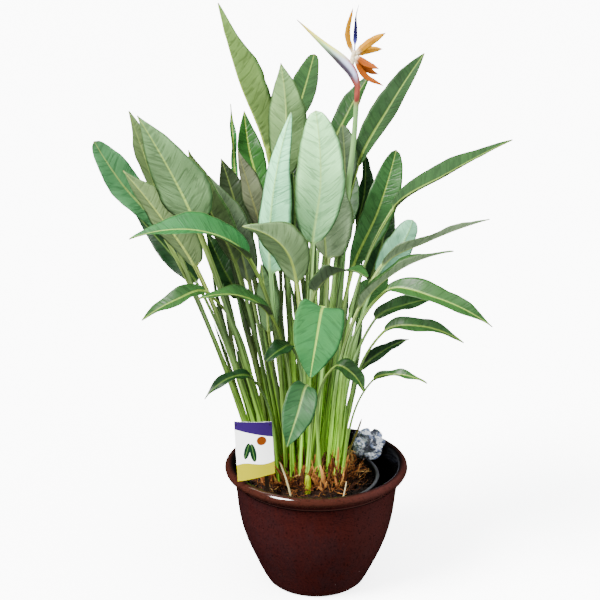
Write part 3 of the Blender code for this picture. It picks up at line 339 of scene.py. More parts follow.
leafTable = {
    "tall_left": leaf((-0.097, 0.03, 0.92), (-0.15, 0.02, 1.065), (-0.188, 0, 1.21), 0.116, (0.85, 0.5,
        0.1), "lime", fold=30),
    "upper_grey": leaf((-0.065, -0.02, 0.875), (-0.06, -0.035, 1.005), (-0.07, -0.05, 1.105), 0.078, (0.15,
        1, 0.2), "silver"),
    "back_upper": leaf((-0.06, 0.1, 0.915), (-0.03, 0.15, 1), (-0.005, 0.2, 1.08), 0.056, (-0.3, -1, 0.3),
        "deep", matte=1, end=0.5, widest=0.52),
    "pale_narrow": leaf((-0.09, -0.1, 0.705), (-0.085, -0.125, 0.86), (-0.05, -0.14, 1.03), 0.08, (0.45,
        0.9, 0),
        "mint", fold=28, widest=0.24, end=0.8),
    "centre_broad": leaf((-0.01, -0.07, 0.755), (0.005, -0.085, 0.885), (-0.005, -0.1, 1.025), 0.096, (0,
        1, 0.15),
        "frost", fold=12, end=0.5, widest=0.45),
    "curved_olive": leaf((-0.04, -0.11, 0.69), (-0.07, -0.16, 0.785), (-0.14, -0.2, 0.83), 0.084, (-0.1,
        0.75, 0.6),
        "tan", fold=24, widest=0.42),
    "centre_half_hidden": leaf((0.02, -0.035, 0.715), (0.015, -0.035, 0.825), (0.045, -0.03, 0.93), 0.112,
        (0.55, 0.8, 0.1),
        "felt", widest=0.36),
    "short_bent": leaf((-0.005, -0.115, 0.675), (0.035, -0.13, 0.72), (0.09, -0.2, 0.73), 0.068, (-0.3,
        0.55, 0.75),
        "ash", fold=16, end=0.6),
    "front_hanging": leaf((0.01, -0.14, 0.65), (-0.005, -0.215, 0.6), (-0.015, -0.24, 0.545), 0.096, (0,
        -1, 0.2),
        "fresh", matte=1, fold=12, widest=0.3, end=0.85),
    "low_hanging": leaf((-0.02, -0.13, 0.485), (-0.04, -0.175, 0.44), (-0.06, -0.19, 0.38), 0.064, (0, -1,
        0.3),
        "blue", matte=0.3, fold=14, widest=0.38),
    "front_small": leaf((-0.05, -0.125, 0.565), (-0.075, -0.16, 0.57), (-0.1, -0.18, 0.555), 0.04, (-0.2,
        -0.6, 0.8),
        "dark", end=0.7),
    "arching_left": leaf((-0.13, -0.13, 0.745), (-0.22, -0.18, 0.815), (-0.35, -0.2, 0.805), 0.078, (0,
        -0.35, 0.94),
        "fresh", matte=0.4, fold=28),
    "outer_left": leaf((-0.306, -0.03, 0.772), (-0.379, -0.04, 0.87), (-0.427, -0.05, 0.955), 0.068, (0.3,
        -0.75, 0.5),
        "jade", end=0.5, widest=0.5),
    "striped_left": leaf((-0.285, -0.07, 0.79), (-0.325, -0.075, 0.925), (-0.355, -0.08, 1.02), 0.07, (0.5,
        0.85, 0.1), "grey"),
    "big_left": leaf((-0.23, -0.14, 0.82), (-0.265, -0.15, 0.905), (-0.33, -0.17, 1.03), 0.11, (0.25, 0.95,
        0.1),
        "sage", fold=14, widest=0.36),
    "olive_left": leaf((-0.235, -0.09, 0.715), (-0.3, -0.105, 0.825), (-0.365, -0.12, 0.915), 0.082, (0.4,
        0.9, 0.1), "olive"),
    "dark_left_back": leaf((-0.245, 0.06, 0.635), (-0.3, 0.09, 0.69), (-0.375, 0.13, 0.765), 0.046, (-0.1,
        -0.9, 0.4), "dark"),
    "low_left": leaf((-0.215, -0.12, 0.675), (-0.27, -0.15, 0.67), (-0.335, -0.17, 0.635), 0.04, (0, -0.5,
        0.85), "green"),
    "mid_left": leaf((-0.09, -0.14, 0.635), (-0.15, -0.17, 0.685), (-0.225, -0.19, 0.685), 0.05, (0, -0.2,
        0.95), "green"),
    "small_left": leaf((-0.13, -0.1, 0.49), (-0.175, -0.13, 0.5), (-0.22, -0.15, 0.465), 0.026, (0, -0.5,
        0.85), "dark"),
    "small_right": leaf((0.035, -0.14, 0.53), (0.065, -0.16, 0.525), (0.09, -0.18, 0.49), 0.038, (0.2,
        -0.6, 0.7), "green"),
    "low_right": leaf((0.11, -0.1, 0.485), (0.16, -0.12, 0.505), (0.215, -0.13, 0.49), 0.022, (0, -0.4,
        0.9), "green"),
    "dark_low_right": leaf((0.09, -0.02, 0.475), (0.135, 0.01, 0.505), (0.19, 0.04, 0.52), 0.028, (0, -0.6,
        0.8), "dark"),
    "mid_low_right": leaf((0.13, -0.09, 0.583), (0.2, -0.11, 0.602), (0.285, -0.12, 0.571), 0.036, (0,
        -0.5, 0.85), "green"),
    "dark_right": leaf((0.115, -0.05, 0.595), (0.175, -0.02, 0.615), (0.25, 0.03, 0.61), 0.038, (0, -0.5,
        0.85), "dark"),
    "arching_right": leaf((0.13, -0.13, 0.68), (0.225, -0.17, 0.68), (0.33, -0.19, 0.629), 0.052, (0.1,
        -0.5, 0.85), "green"),
    "folded_right": leaf((0.08, -0.1, 0.635), (0.155, -0.115, 0.72), (0.26, -0.11, 0.755), 0.052, (-0.2,
        0.15, 0.97),
        "felt", fold=32, base=0.85),
    "grey_right": leaf((0.125, -0.06, 0.71), (0.215, -0.055, 0.76), (0.335, -0.04, 0.799), 0.056, (-0.2,
        0.35, 0.9),
        "felt", base=0.9),
    "pale_right": leaf((0.12, -0.02, 0.68), (0.165, 0, 0.73), (0.19, 0.02, 0.78), 0.062, (-0.3, 0.95, 0.1),
        "haze", fold=10, end=0.45, widest=0.5),
    "long_right": leaf((0.145, -0.03, 0.812), (0.257, -0.01, 0.884), (0.38, 0.01, 0.945), 0.056, (-0.2,
        -0.25, 0.95),
        "deep", matte=1, fold=34, wave=0.0018, base=0.95, widest=0.42),
    "tall_right": leaf((0.08, 0.05, 0.88), (0.144, 0.08, 0.997), (0.213, 0.12, 1.095), 0.059, (-0.5, -0.85,
        0.15),
        "deep", matte=0.5, fold=34, wave=0.0018, widest=0.45, end=0.85),
    "back_of_stalk": leaf((0.029, 0.1, 0.9), (0.061, 0.15, 0.965), (0.107, 0.2, 1.035), 0.046, (-0.5,
        -0.85, 0.3),
        "deep", fold=30, wave=0.0018, end=0.7, widest=0.5),
    "grey_narrow": leaf((0.055, 0.03, 0.835), (0.055, 0.04, 0.9), (0.05, 0.05, 0.965), 0.046, (0.45, 0.9,
        0.1),
        "shadedSlate", end=0.55, widest=0.5),
    "dark_narrow": leaf((0.08, 0.04, 0.76), (0.095, 0.055, 0.83), (0.095, 0.07, 0.9), 0.036, (0.6, -0.8, 0),
        "dark", end=0.6, widest=0.5),
    "broad_right": leaf((0.07, -0.01, 0.685), (0.12, 0.01, 0.8), (0.155, 0.03, 0.92), 0.066, (0.1, -0.95,
        0.2),
        "grass", end=0.5, widest=0.52),
    "dark_right_back": leaf((0.11, 0.08, 0.63), (0.135, 0.12, 0.7), (0.155, 0.17, 0.79), 0.055, (0.2, -0.9,
        0.3), "dark"),
    "green_left": leaf((-0.11, 0.05, 0.815), (-0.135, 0.07, 0.91), (-0.145, 0.09, 0.985), 0.054, (0.2,
        -0.95, 0.2), "leafy"),
    "rolled_spear": leaf((-0.165, 0.12, 0.815), (-0.17, 0.14, 0.905), (-0.175, 0.16, 0.985), 0.014, (0.5,
        -0.8, 0.2), "fresh"),
    "grey_behind": leaf((-0.16, -0.06, 0.715), (-0.21, -0.07, 0.835), (-0.245, -0.08, 0.945), 0.062, (0.3,
        0.95, 0.1), "moss"),
    "olive_slender": leaf((-0.135, -0.03, 0.665), (-0.165, -0.035, 0.785), (-0.21, -0.04, 0.885), 0.062,
        (0.3, 0.95, 0.1),
        "ash"),
    "dark_olive": leaf((-0.14, 0.02, 0.72), (-0.165, 0.03, 0.82), (-0.19, 0.04, 0.9), 0.06, (0.2, -0.95,
        0.2),
        "dusk", widest=0.45),
    "brown_grey": leaf((-0.105, 0, 0.745), (-0.13, 0, 0.84), (-0.155, 0.005, 0.925), 0.056, (0.4, 0.9,
        0.1), "brown"),
    "green_under": leaf((-0.095, -0.06, 0.57), (-0.1, -0.065, 0.64), (-0.11, -0.065, 0.715), 0.05, (0.3,
        0.9, 0.1), "sage"),
    "back_centre": leaf((0.03, 0.16, 0.675), (0.06, 0.22, 0.765), (0.075, 0.27, 0.84), 0.075, (-0.1, -0.9,
        0.5), "green"),
    "back_left": leaf((-0.045, 0.1, 0.7), (-0.045, 0.13, 0.8), (-0.055, 0.16, 0.9), 0.056, (0.1, -0.9,
        0.5), "dark"),
    "back_low_right": leaf((0.08, 0.14, 0.525), (0.125, 0.2, 0.575), (0.15, 0.27, 0.585), 0.06, (-0.2,
        -0.7, 0.7), "green"),
    "back_low_left": leaf((-0.16, 0.06, 0.6), (-0.195, 0.075, 0.67), (-0.225, 0.09, 0.735), 0.056, (0.2,
        -0.7, 0.7), "dark"),
}

crown = {"centre": (-0.02, 0.0), "halfWidth": 0.112, "halfDepth": 0.1, "foot": 0.222, "edge": 0.23,
         "top": 0.252,
         "footSpread": (0.095, 0.084), "fanDepth": 0.21}
stalk = {"path": ((0.016, 0.004, 0.222), (0.036, 0.002, 0.46), (0.05, 0.0, 0.685), (0.06, 0.0, 0.84),
                  (0.07, -0.005, 0.945), (0.075, -0.015, 1.035)), "radius": 0.0052, "flare": 1.25}
spreading = {"rounds": 160, "samples": 30, "stalkSamples": 60, "stalkShare": 0.75, "step": 0.3,
             "footReach": 1.15}
blade = {"thickness": 0.0011, "stemRings": 26, "bladeRings": 62, "across": 17, "stemSpacing": 0.0013}


def stemRadii(item):
    return 0.003 + 0.05 * item["width"], 0.0012 + 0.04 * item["width"]


def stemRadius(item, t):  # neck radius plus a widening that grows towards the foot by (1 - t)^1.6
    foot, neck = stemRadii(item)
    return neck + (foot - neck) * (1 - t) ** 1.6


def stemLine(item, t, foot, bulge):  # cubic from foot to neck, pushed aside by 4t(1 - t) times the bulge
    neck, belly = np.array(item["neck"]), np.array(item["belly"])
    rise = unit(neck - foot)
    line = hermite(foot, neck, unit(rise * (0.75, 0.75, 1.0)), unit(rise + 0.8 * unit(belly - neck)), t)
    t = np.asarray(t)[:, None]
    return line + 4 * t * (1 - t) * bulge


def bladeLine(item, t, foot):  # two cubics that meet in the belly
    neck, belly, tip = (np.array(item[k]) for k in ("neck", "belly", "tip"))
    leave = unit(unit(neck - foot) + 0.8 * unit(belly - neck))
    middle = unit(unit(belly - neck) + unit(tip - belly))
    arrive = unit(2 * unit(tip - belly) - middle)
    return np.vstack((hermite(neck, belly, leave, middle, t[t <= 0.5] * 2),
                      hermite(belly, tip, middle, arrive, t[t > 0.5] * 2 - 1)))


def spreadStems(items):
    # feet fan out from a point under the crown; then every overlap of two stems pushes both apart
    count, samples, extra = len(items), spreading["samples"], spreading["stalkSamples"]
    t = np.linspace(0, 1, samples)
    middle = np.array(crown["centre"])
    feet, bulges = np.zeros((count, 3)), np.zeros((count, 3))
    for i, item in enumerate(items):
        neck = np.array(item["neck"])
        share = crown["fanDepth"] / (neck[2] - crown["foot"] + crown["fanDepth"])
        feet[i, :2] = middle + (neck[:2] - middle) * share * spreading["footReach"]
        feet[i, 2] = crown["foot"]
    radii = np.array([stemRadius(item, t) for item in items])
    fixed = smoothPath(stalk["path"], np.linspace(0, spreading["stalkShare"], extra))
    owner = np.concatenate((np.repeat(np.arange(count), samples), np.full(extra, count)))
    thick = np.concatenate((radii.ravel(), np.full(extra, stalk["radius"] * stalk["flare"])))
    apart = owner[:, None] != owner[None, :]
    room = thick[:, None] + thick[None, :] + blade["stemSpacing"]
    footPull, bulgePull = (1 - t) ** 2, 4 * t * (1 - t)
    for _ in range(spreading["rounds"]):
        lines = np.array([stemLine(item, t, feet[i], bulges[i]) for i, item in enumerate(items)])
        flat = np.vstack((lines.reshape(-1, 3), fixed))
        delta = flat[:, None, :] - flat[None, :, :]
        distance = np.sqrt((delta**2).sum(axis=2)) + 1e-9
        short = np.where(apart & (distance < room), room - distance, 0.0)
        push = (delta / distance[..., None] * short[..., None]).sum(axis=1)
        push = push[:count * samples].reshape(count, samples, 3)
        push[..., 2] = 0
        feet += spreading["step"] * (push * footPull[None, :, None]).sum(axis=1) / 2
        bulges += spreading["step"] * (push * bulgePull[None, :, None]).sum(axis=1) / 4
        out = np.sqrt((((feet[:, :2] - middle) / crown["footSpread"]) ** 2).sum(axis=1))
        feet[:, :2] = middle + (feet[:, :2] - middle) / np.maximum(out, 1)[:, None]
    return feet, bulges


def twoSides(m):
    # share across, -1 to 1 on the upper side and back on the lower one, and 1 for each upper point
    a = np.concatenate((np.linspace(-1, 1, m + 1), np.linspace(1, -1, m + 1)[1:-1]))[None, :]
    return a, np.concatenate((np.ones(m + 1), np.zeros(m - 1)))[None, :]


def leafSkin(item, foot, bulge, index):
    # A grooved round stem section turns into a folded blade section over the first stretch past the neck.
    # Blade: a runs from -1 to 1 across. The height is |a| half sin(fold), plus an edge wave times |a|^1.3,
    # less a narrow groove on top, or less the thickness and a round keel underneath.
    phase = 2.4 * index
    fineStem, fineBlade = np.linspace(0, 1, 41), np.linspace(0, 1, 61)
    line = np.vstack((stemLine(item, fineStem, foot, bulge)[:-1], bladeLine(item, fineBlade, foot)))
    along = np.concatenate((fineStem[:-1], 1 + fineBlade))
    tangents, normals = carryNormals(line, 70, np.array(item["face"], float))
    reach = np.concatenate(((0,), np.cumsum(np.linalg.norm(np.diff(line, axis=0), axis=1))))
    onStem, onBlade = (np.linspace(0, 1, blade[key]) for key in ("stemRings", "bladeRings"))
    wanted = np.concatenate((onStem[:-1], 1 + onBlade ** 1.2))
    pick = lambda table: np.stack([np.interp(wanted, along, table[:, k]) for k in range(3)], axis=1)
    centres, tangents, normals = pick(line), unit(pick(tangents)), unit(pick(normals))
    sides = unit(np.cross(tangents, normals))
    metres = np.interp(wanted, along, reach) - reach[40]
    a, upper = twoSides(blade["across"])
    t = np.clip(wanted - 1, 0, 1)[:, None]
    # blade section
    narrowing = item["base"] + (item["end"] - item["base"]) * t
    arch = np.sin(math.pi * t ** (math.log(0.5) / math.log(item["widest"])))
    half = item["width"] / 2 * np.clip(arch, 0, 1) ** narrowing + 0.0009
    half = half * (1 + 0.012 * np.sin(23 * t + phase) + 0.008 * np.sin(51 * t + 2 * phase))
    spread = np.sign(a) * np.abs(a) ** 1.5
    tilt = np.radians(item["fold"] * (1 - 0.25 * t))
    rib = stemRadii(item)[1] * (1 - t) ** 0.9 * 0.9 + 0.0008
    swell = item["wave"] * np.sin(math.pi * t) ** 0.5
    leftWave, rightWave = np.sin(4.4 * math.pi * t + phase), np.sin(4.0 * math.pi * t + 1.9 * phase + 1.0)
    wave = np.where(a < 0, leftWave, rightWave) * swell
    small = 0.0004 * np.sin(metres[:, None] * 190 + 3 * np.sign(a) + phase) * np.sin(math.pi * t)
    across = spread * half * np.cos(tilt)
    size = np.abs(spread)
    lift = size * half * np.sin(tilt) + wave * size ** 1.3 + small * size ** 3
    lift = lift - 0.1 * half * (size - size**2)
    groove = 0.3 * rib * np.exp(-((across / (0.55 * rib)) ** 2))
    keel = blade["thickness"] * (1 - size**8) + 1.1 * rib * np.exp(-((across / (1.05 * rib)) ** 2))
    lift = lift - np.where(upper > 0, groove, keel)
    # stem section
    angle = np.where(upper > 0, math.pi / 2 * (1 - a), math.pi / 2 * (a - 1))
    flare = 1 + 0.1 * (1 - easeStep(wanted, 0.02, 0.16))
    radius = stemRadius(item, np.clip(wanted, 0, 1))[:, None] * flare[:, None]
    section = radius * (1 - 0.28 * np.exp(-(((angle - math.pi / 2) / 0.5) ** 2)))
    mixing = easeStep(t, 0.0, 0.04)
    x = across * mixing + section * np.cos(angle) * (1 - mixing)
    z = lift * mixing + section * np.sin(angle) * (1 - mixing)
    rings = sweptRings(centres, sides, normals, x, z)
    place, share = joined(x, metres[:, None], upper), joined(spread, wanted[:, None], index * 0.37)
    tones = {}
    for key, tone, fourth in zip(toneFields, leafLooks[item["look"]], (item["matte"], 0, 0)):
        tones[key] = np.broadcast_to(np.array((*tone, fourth)), (*x.shape, 4))
    return ringSkin(rings, place=place, share=share, **tones)


def leafFinish():
    # lead grows along the midrib and falls off towards the edge, so equal values are side veins that
    # leave the midrib at about 58 degrees and bend towards the tip; noise read along it gives the ribs
    f = Finish("leafSkin", Specular_IOR_Level=0.2)
    x, y, upper = f.split(f.field("place", 1))
    a, t, seed = f.split(f.field("share", 1))
    w, edge = x.size(), a.size()
    spot = f.place()
    lead = y - w * 0.6 - w * w * 4.5
    veins = f.noise(f.join(lead, x * 0.12, seed), 210, 4, 0.65)
    folds = f.noise(f.join(lead, x * 0.22, seed + 5), 62, 2)
    crease = (folds - 0.5).size().fade(0.005, 0.058)
    onBlade = t.ease(1.0, 1.05)
    ribHalf = 0.0037 - (t - 1) * 0.0027
    onRib = w.fade(ribHalf * 0.5, ribHalf)
    cloud = f.noise(spot, 9, 4, 0.6)
    grain = f.noise(spot, 300, 2)
    top = f.mix(cloud.ease(0.42, 0.72) * 0.25, f.field("upperTone"), (0.02, 0.062, 0.01))
    under = f.mix(cloud.ease(0.4, 0.75) * 0.2, f.field("underTone"), (0.07, 0.11, 0.04))
    # painted shade and light: undersides darker near the neck and lighter towards the tip
    under = f.shade(under, 0.74 + (t - 1) * 0.62)
    paint = f.mix(upper, under, top)
    # painted light and shade: the shadow noise lightens and darkens the blade in streaks along the veins, and
    # the vein creases are painted darker
    shadow = f.noise(f.join(lead, x * 1.5, seed + 9), 16, 2)
    paint = f.shade(paint, 0.56 + veins * 0.6 + shadow * 0.34 - crease * 0.27 + (grain - 0.5) * 0.2)
    paint = f.mix(edge.ease(0.968, 0.992) * 0.4, paint, (0.13, 0.18, 0.04))
    paint = f.mix(onRib * 0.8, paint, f.field("ribTone"))
    paint = f.mix(t.ease(1.975, 2.0) * 0.7, paint, (0.06, 0.035, 0.012))
    streak = f.noise(f.join(a * 2.4 + seed * 3, y * 6, upper * 4), 1.0, 3)
    clump = f.noise(f.join(seed * 13, y * 2, 0), 1.0, 2)
    # the stems' own lime at the foot, raised brighter as painted light for light shining through them
    stem = f.mix(t.ease(0.05, 0.75), (0.3, 0.65, 0.026), (0.128, 0.23, 0.068))
    # painted shade: stems on the left side of the clump darker
    stem = f.shade(stem, 0.42 + f.split(spot)[0].ease(-0.085, -0.01) * 0.58)
    # painted shade: the young leaves inside the clump are darker
    stem = f.shade(stem, 1 - f.field("underTone", 3) * 0.55)
    stem = f.mix(clump.ease(0.46, 0.6) * 0.55, stem, (0.04, 0.062, 0.01))
    stem = f.mix(t.ease(0.7, 1.0) * 0.75, stem, f.field("ribTone"))
    stem = f.mix(t.fade(0.012, 0.075) * 0.8, stem, (0.12, 0.05, 0.01))
    # painted light and shade: broad lighter and darker bands along each stem stand for its lit and shaded
    # sides
    stem = f.shade(stem, 0.22 + streak.ease(0.32, 0.66) * 1.36)
    paint = f.mix(onBlade, stem, paint)
    rough = 0.43 + (1 - upper) * 0.18 + (cloud - 0.5) * 0.2 + f.field("upperTone", 3) * upper * 0.45
    height = (veins * 0.7 + folds - crease * 0.5) * onBlade + streak * (1 - onBlade) * 1.5
    return f.paint(paint, rough, height, 0.45, 0.002)


def makeLeaves():
    finish = leafFinish()
    items = list(leafTable.values())
    feet, bulges = spreadStems(items)
    t = np.linspace(0, 1, 120)
    blades, stems = [], [(smoothPath(stalk["path"], t), np.full(len(t), stalk["radius"] * stalk["flare"]))]
    for index, (name, item) in enumerate(leafTable.items()):
        label = "".join(word.capitalize() for word in name.split("_"))
        skin = leafSkin(item, feet[index], bulges[index], index)
        blades.append(skin["points"])
        stems.append((stemLine(item, t, feet[index], bulges[index]), stemRadius(item, t)))
        addPiece("leaf" + label, [skin], [finish], "leaf_" + name)
    print("leaves made:", len(items))
    makeYoungLeaves(finish, np.vstack(blades), stems)
    return feet, bulges


soil = {"top": 0.222, "base": 0.0151, "crumbs": 950, "lump": 0.0022}


youngLeaves = {
    "count": 46, "draws": 70, "seed": 7, "gap": 0.0004, "rings": 44, "around": 12, "tone": (0.02, 0.085,
            0.014),
    "foot": 0.228, "share": (0.85, 0.84), "tips": ((-0.22, -0.06, 0.5),
                                                   (0.11, 0.14, 0.8)), "radii": (0.0034, 0.0056),
    "swell": ((0, 0.1, 0.6, 0.68, 0.8, 0.92, 1), (1.35, 1.2, 0.72, 0.95, 1.15, 0.6, 0.12)),
}


def drawYoungLeaf(draw):
    # quadratic curve from foot to tip; like the stems, it fans out from a point under the soil
    tip = draw.uniform(*youngLeaves["tips"])
    centre = np.array(crown["centre"])
    lean = crown["fanDepth"] / (tip[2] - soil["top"] + crown["fanDepth"]) * draw.uniform(0.6, 1.5)
    foot = (tip[:2] - centre) * lean + draw.normal(0, 0.012, 2)
    shareX, shareY = youngLeaves["share"]
    foot = foot / max(1, np.hypot(*foot / (shareX * crown["halfWidth"], shareY * crown["halfDepth"])))
    foot = np.array((*(centre + foot), youngLeaves["foot"]))
    pull = (foot + tip) / 2 + np.array((*draw.normal(0, 0.024, 2), 0))
    t = np.linspace(0, 1, youngLeaves["rings"])
    line = (1 - t[:, None]) ** 2 * foot + 2 * (t * (1 - t))[:, None] * pull + t[:, None] ** 2 * tip
    return line, draw.uniform(*youngLeaves["radii"]) * np.interp(t, *youngLeaves["swell"])


def frontGap(line, others):
    # seen from the front and a little above: the mean distance to the nearest stem at either side, less where
    # no stem stands at one side
    line = line[: len(line) * 2 // 3]
    none = 9  # a distance that no stem has
    seen = line[:, 2] + line[:, 1] / 3
    beside = []
    for other in others:
        beside.append(np.interp(seen, other[:, 2] + other[:, 1] / 3, other[:, 0], none, none) - line[:, 0])
    beside = np.array(beside)
    left = np.where(beside < 0, -beside, none).min(axis=0)
    right = np.where(beside > 0, beside, none).min(axis=0)
    return np.where(np.maximum(left, right) > 1, -0.05, np.minimum(np.minimum(left, right), 0.02)).mean()


def makeYoungLeaves(finish, blades, stems):
    # each one takes the widest gap in the clump, out of many draws that touch nothing
    tree = kdtree.KDTree(len(blades))
    for k, point in enumerate(blades):
        tree.insert(point, k)
    tree.balance()
    draw = np.random.default_rng(youngLeaves["seed"])
    turn = np.cos(roundAngles(youngLeaves["around"]))
    free = 3  # the first points of the line, at the foot, may touch a stem
    skins = []
    for k in range(youngLeaves["count"]):
        lines = [line for line, radius in stems]
        taken, reach = np.vstack(lines), np.concatenate([radius for line, radius in stems])
        best, widest = None, 0
        for _ in range(youngLeaves["draws"]):
            line, radius = drawYoungLeaf(draw)
            room = frontGap(line, lines)
            if room <= widest:
                continue
            spots, thick = line[free:], radius[free:]
            away = np.linalg.norm(spots[:, None] - taken, axis=2) - reach - thick[:, None]
            if away.min() > youngLeaves["gap"] and all(tree.find(c)[2] > r for c, r in zip(spots, thick)):
                best, widest = (line, radius), room
        if best is None:
            continue
        stems.append(best)
        rings = ovalRings(best[0], (0.3, -1, 0.1), best[1], best[1], youngLeaves["around"])
        height = np.broadcast_to(np.linspace(0, 1, len(rings))[:, None], rings.shape[:2])
        tone = np.broadcast_to(np.array((*youngLeaves["tone"], 1)), (*height.shape, 4))
        place, share = joined(0, height * 0.5, 0), joined(turn, height * 0.96, 0.41 * k + 2)
        skins.append(ringSkin(rings, place=place, share=share, **dict.fromkeys(toneFields, tone)))
    addPiece("youngLeaves", skins, [finish], None)
    print("young leaves made:", len(skins))


feet, bulges = makeLeaves()


pot = {"rim": 0.1795, "bead": 0.0105, "rimHeight": 0.2555, "floor": 0.012, "wall": 0.009, "segments": 160,
       "ridges": ((0.0007, 0.2385), (-0.0009, 0.2325)),  # how far it stands out, at what height
       "heights": (0.0, 0.004, 0.018, 0.041, 0.063, 0.086, 0.108, 0.131, 0.16, 0.199, 0.215, 0.235),
       "radii": (0.099, 0.1035, 0.111, 0.122, 0.132, 0.142, 0.15, 0.1565, 0.162, 0.166, 0.168, 0.1695)}


def potSide(z):  # the given radii joined by a smooth curve
    spots = np.interp(z, pot["heights"], np.linspace(0, 1, len(pot["heights"])))
    return smoothPath([(r, h, 0) for r, h in zip(pot["radii"], pot["heights"])], spots)[:, 0]


def arcPoints(centre, radius, start, end, count):
    angle = np.radians(np.linspace(start, end, count))
    return joined(centre[0] + radius * np.cos(angle), centre[1] + radius * np.sin(angle))


def makePot():
    # outline from the middle of the underside out, up the side, round the bead and down the inside
    low = np.array([(0, 0.0), (0.05, 0.0), (0.0955, 0.0), (0.0985, 0.0006), (0.1, 0.0022)])
    z = np.linspace(0.006, 0.2405, 56)
    ridge = sum(size * np.exp(-(((z - height) / 0.0022) ** 2)) for size, height in pot["ridges"])
    side = joined(potSide(z) + ridge, z)
    bead = arcPoints((pot["rim"], pot["rimHeight"]), pot["bead"], -112, 158, 30)
    ground = pot["floor"]
    z = np.linspace(0.243, ground + 0.012, 34)
    inside = joined(potSide(np.minimum(z, 0.235)) - pot["wall"], z)
    corner = potSide(np.array([ground + 0.012]))[0] - pot["wall"]
    floor = np.array([(corner - 0.004, ground + 0.003), (corner - 0.014, ground), (0.05, ground),
                      (0, ground)])
    skin = turnedSkin(np.vstack((low, side, bead, inside, floor)), pot["segments"])
    p = skin["points"]
    way = unit(np.column_stack((p[:, :2], np.zeros(len(p)))))
    level = p[:, 2]
    shake = 0.0005 * ripple(p, 0.16, 3) + 0.00012 * ripple(p, 0.035, 4)
    shake = shake + 0.00022 * np.sin(level * 620) * easeStep(level, 0.16, 0.22)
    aside = np.hypot(p[:, 0], p[:, 1]) > 0.09
    skin["points"] = p + way * (shake * easeStep(level, 0.004, 0.03) * aside)[:, None]
    outer = len(low) + len(side) + 17  # rows up to the top of the bead show the outer glaze
    rows = np.arange(1, len(p) // pot["segments"] + 1)
    order = np.concatenate((np.repeat(rows, pot["segments"]), (0, 999)))
    skin["depth"] = joined(easeStep(order, outer, outer + 8), 0, 0)
    f = Finish("oxbloodGlaze", Specular_IOR_Level=0.5, IOR=1.12, Coat_Roughness=0.07, Coat_IOR=1.5)
    spot = f.place()
    x, _, height = f.split(spot)
    inner = f.split(f.field("depth", 1))[0]
    mottle = f.noise(spot, 11, 5, 0.62)
    runs = f.noise(f.stretched(spot, (60, 60, 7)), 1.0, 4, 0.6)
    freckle = f.noise(spot, 260, 3, 0.6)
    body = f.mix((mottle * 0.7 + runs * 0.5).ease(0.5, 0.74), (0.0168, 0.0029, 0.0023),
                 (0.013, 0.0038, 0.0038))
    # painted reflection: the left side is mixed towards a darker, bluer tone, less so near the top
    body = f.mix(x.fade(-0.15, 0.05) * (1 - height.ease(0.12, 0.24) * 0.4) * 0.6, body,
                 (0.0095, 0.0036, 0.0042))
    body = f.mix(height.ease(0.236, 0.246) * 0.8, body, (0.0185, 0.0056, 0.0034))
    # painted light: the right side of the pot is lighter
    body = f.mix(x.ease(0.02, 0.14) * 0.6, body, (0.026, 0.0082, 0.0074))
    thrown = (height * 1500 + mottle * 5).sine() * height.ease(0.15, 0.215) * height.fade(0.236, 0.24)
    body = f.shade(body, 1 + thrown * 0.16)
    body = f.mix(freckle.ease(0.55, 0.68) * 0.5, body, (0.025, 0.005, 0.0032))
    body = f.mix((1 - freckle).ease(0.56, 0.66) * 0.75, body, (0.0028, 0.0008, 0.0007))
    # painted shade and highlight: a dark line in the groove under the bead and a light line just above it
    groove = (height - 0.2312).size().fade(0.0006, 0.0014)
    shine = (height - 0.2334).size().fade(0.0003, 0.0011)
    body = f.mix(groove * 0.85, f.mix(shine * 0.7, body, (0.05, 0.024, 0.018)), (0.0016, 0.0004, 0.0004))
    scuffs = f.cells(spot, 30)
    body = f.mix(scuffs.fade(0.02, 0.034) * mottle.ease(0.5, 0.58) * 0.8, body, (0.16, 0.12, 0.11))
    # painted shade: the inside wall, down in the gap around the nursery pot, is painted near black
    body = f.mix(inner, body, (0.0012, 0.001, 0.0012))
    foot = height.fade(0.0015, 0.0035)
    body = f.mix(foot, body, (0.035, 0.018, 0.012))
    rough = 0.07 + mottle * 0.12 + freckle * 0.06 + foot * 0.5
    shiny = height.ease(0.237, 0.246) * (1 - inner) * 0.8  # a clear coat on the rim alone
    finish = f.paint(body, rough, runs * 0.5 + freckle * 0.6 + mottle, 0.16, 0.0014, Coat_Weight=shiny)
    addPiece("glazedPot", [skin], [finish], "cover_pot", creaseAngle=50)
    print("glazed pot made")


makePot()


nursery = {"centre": (-0.012, 0.0), "top": 0.138, "base": 0.086, "low": 0.0123, "high": 0.2373,
           "wall": 0.0022,
           "rimWide": 0.006, "rimDeep": 0.014}


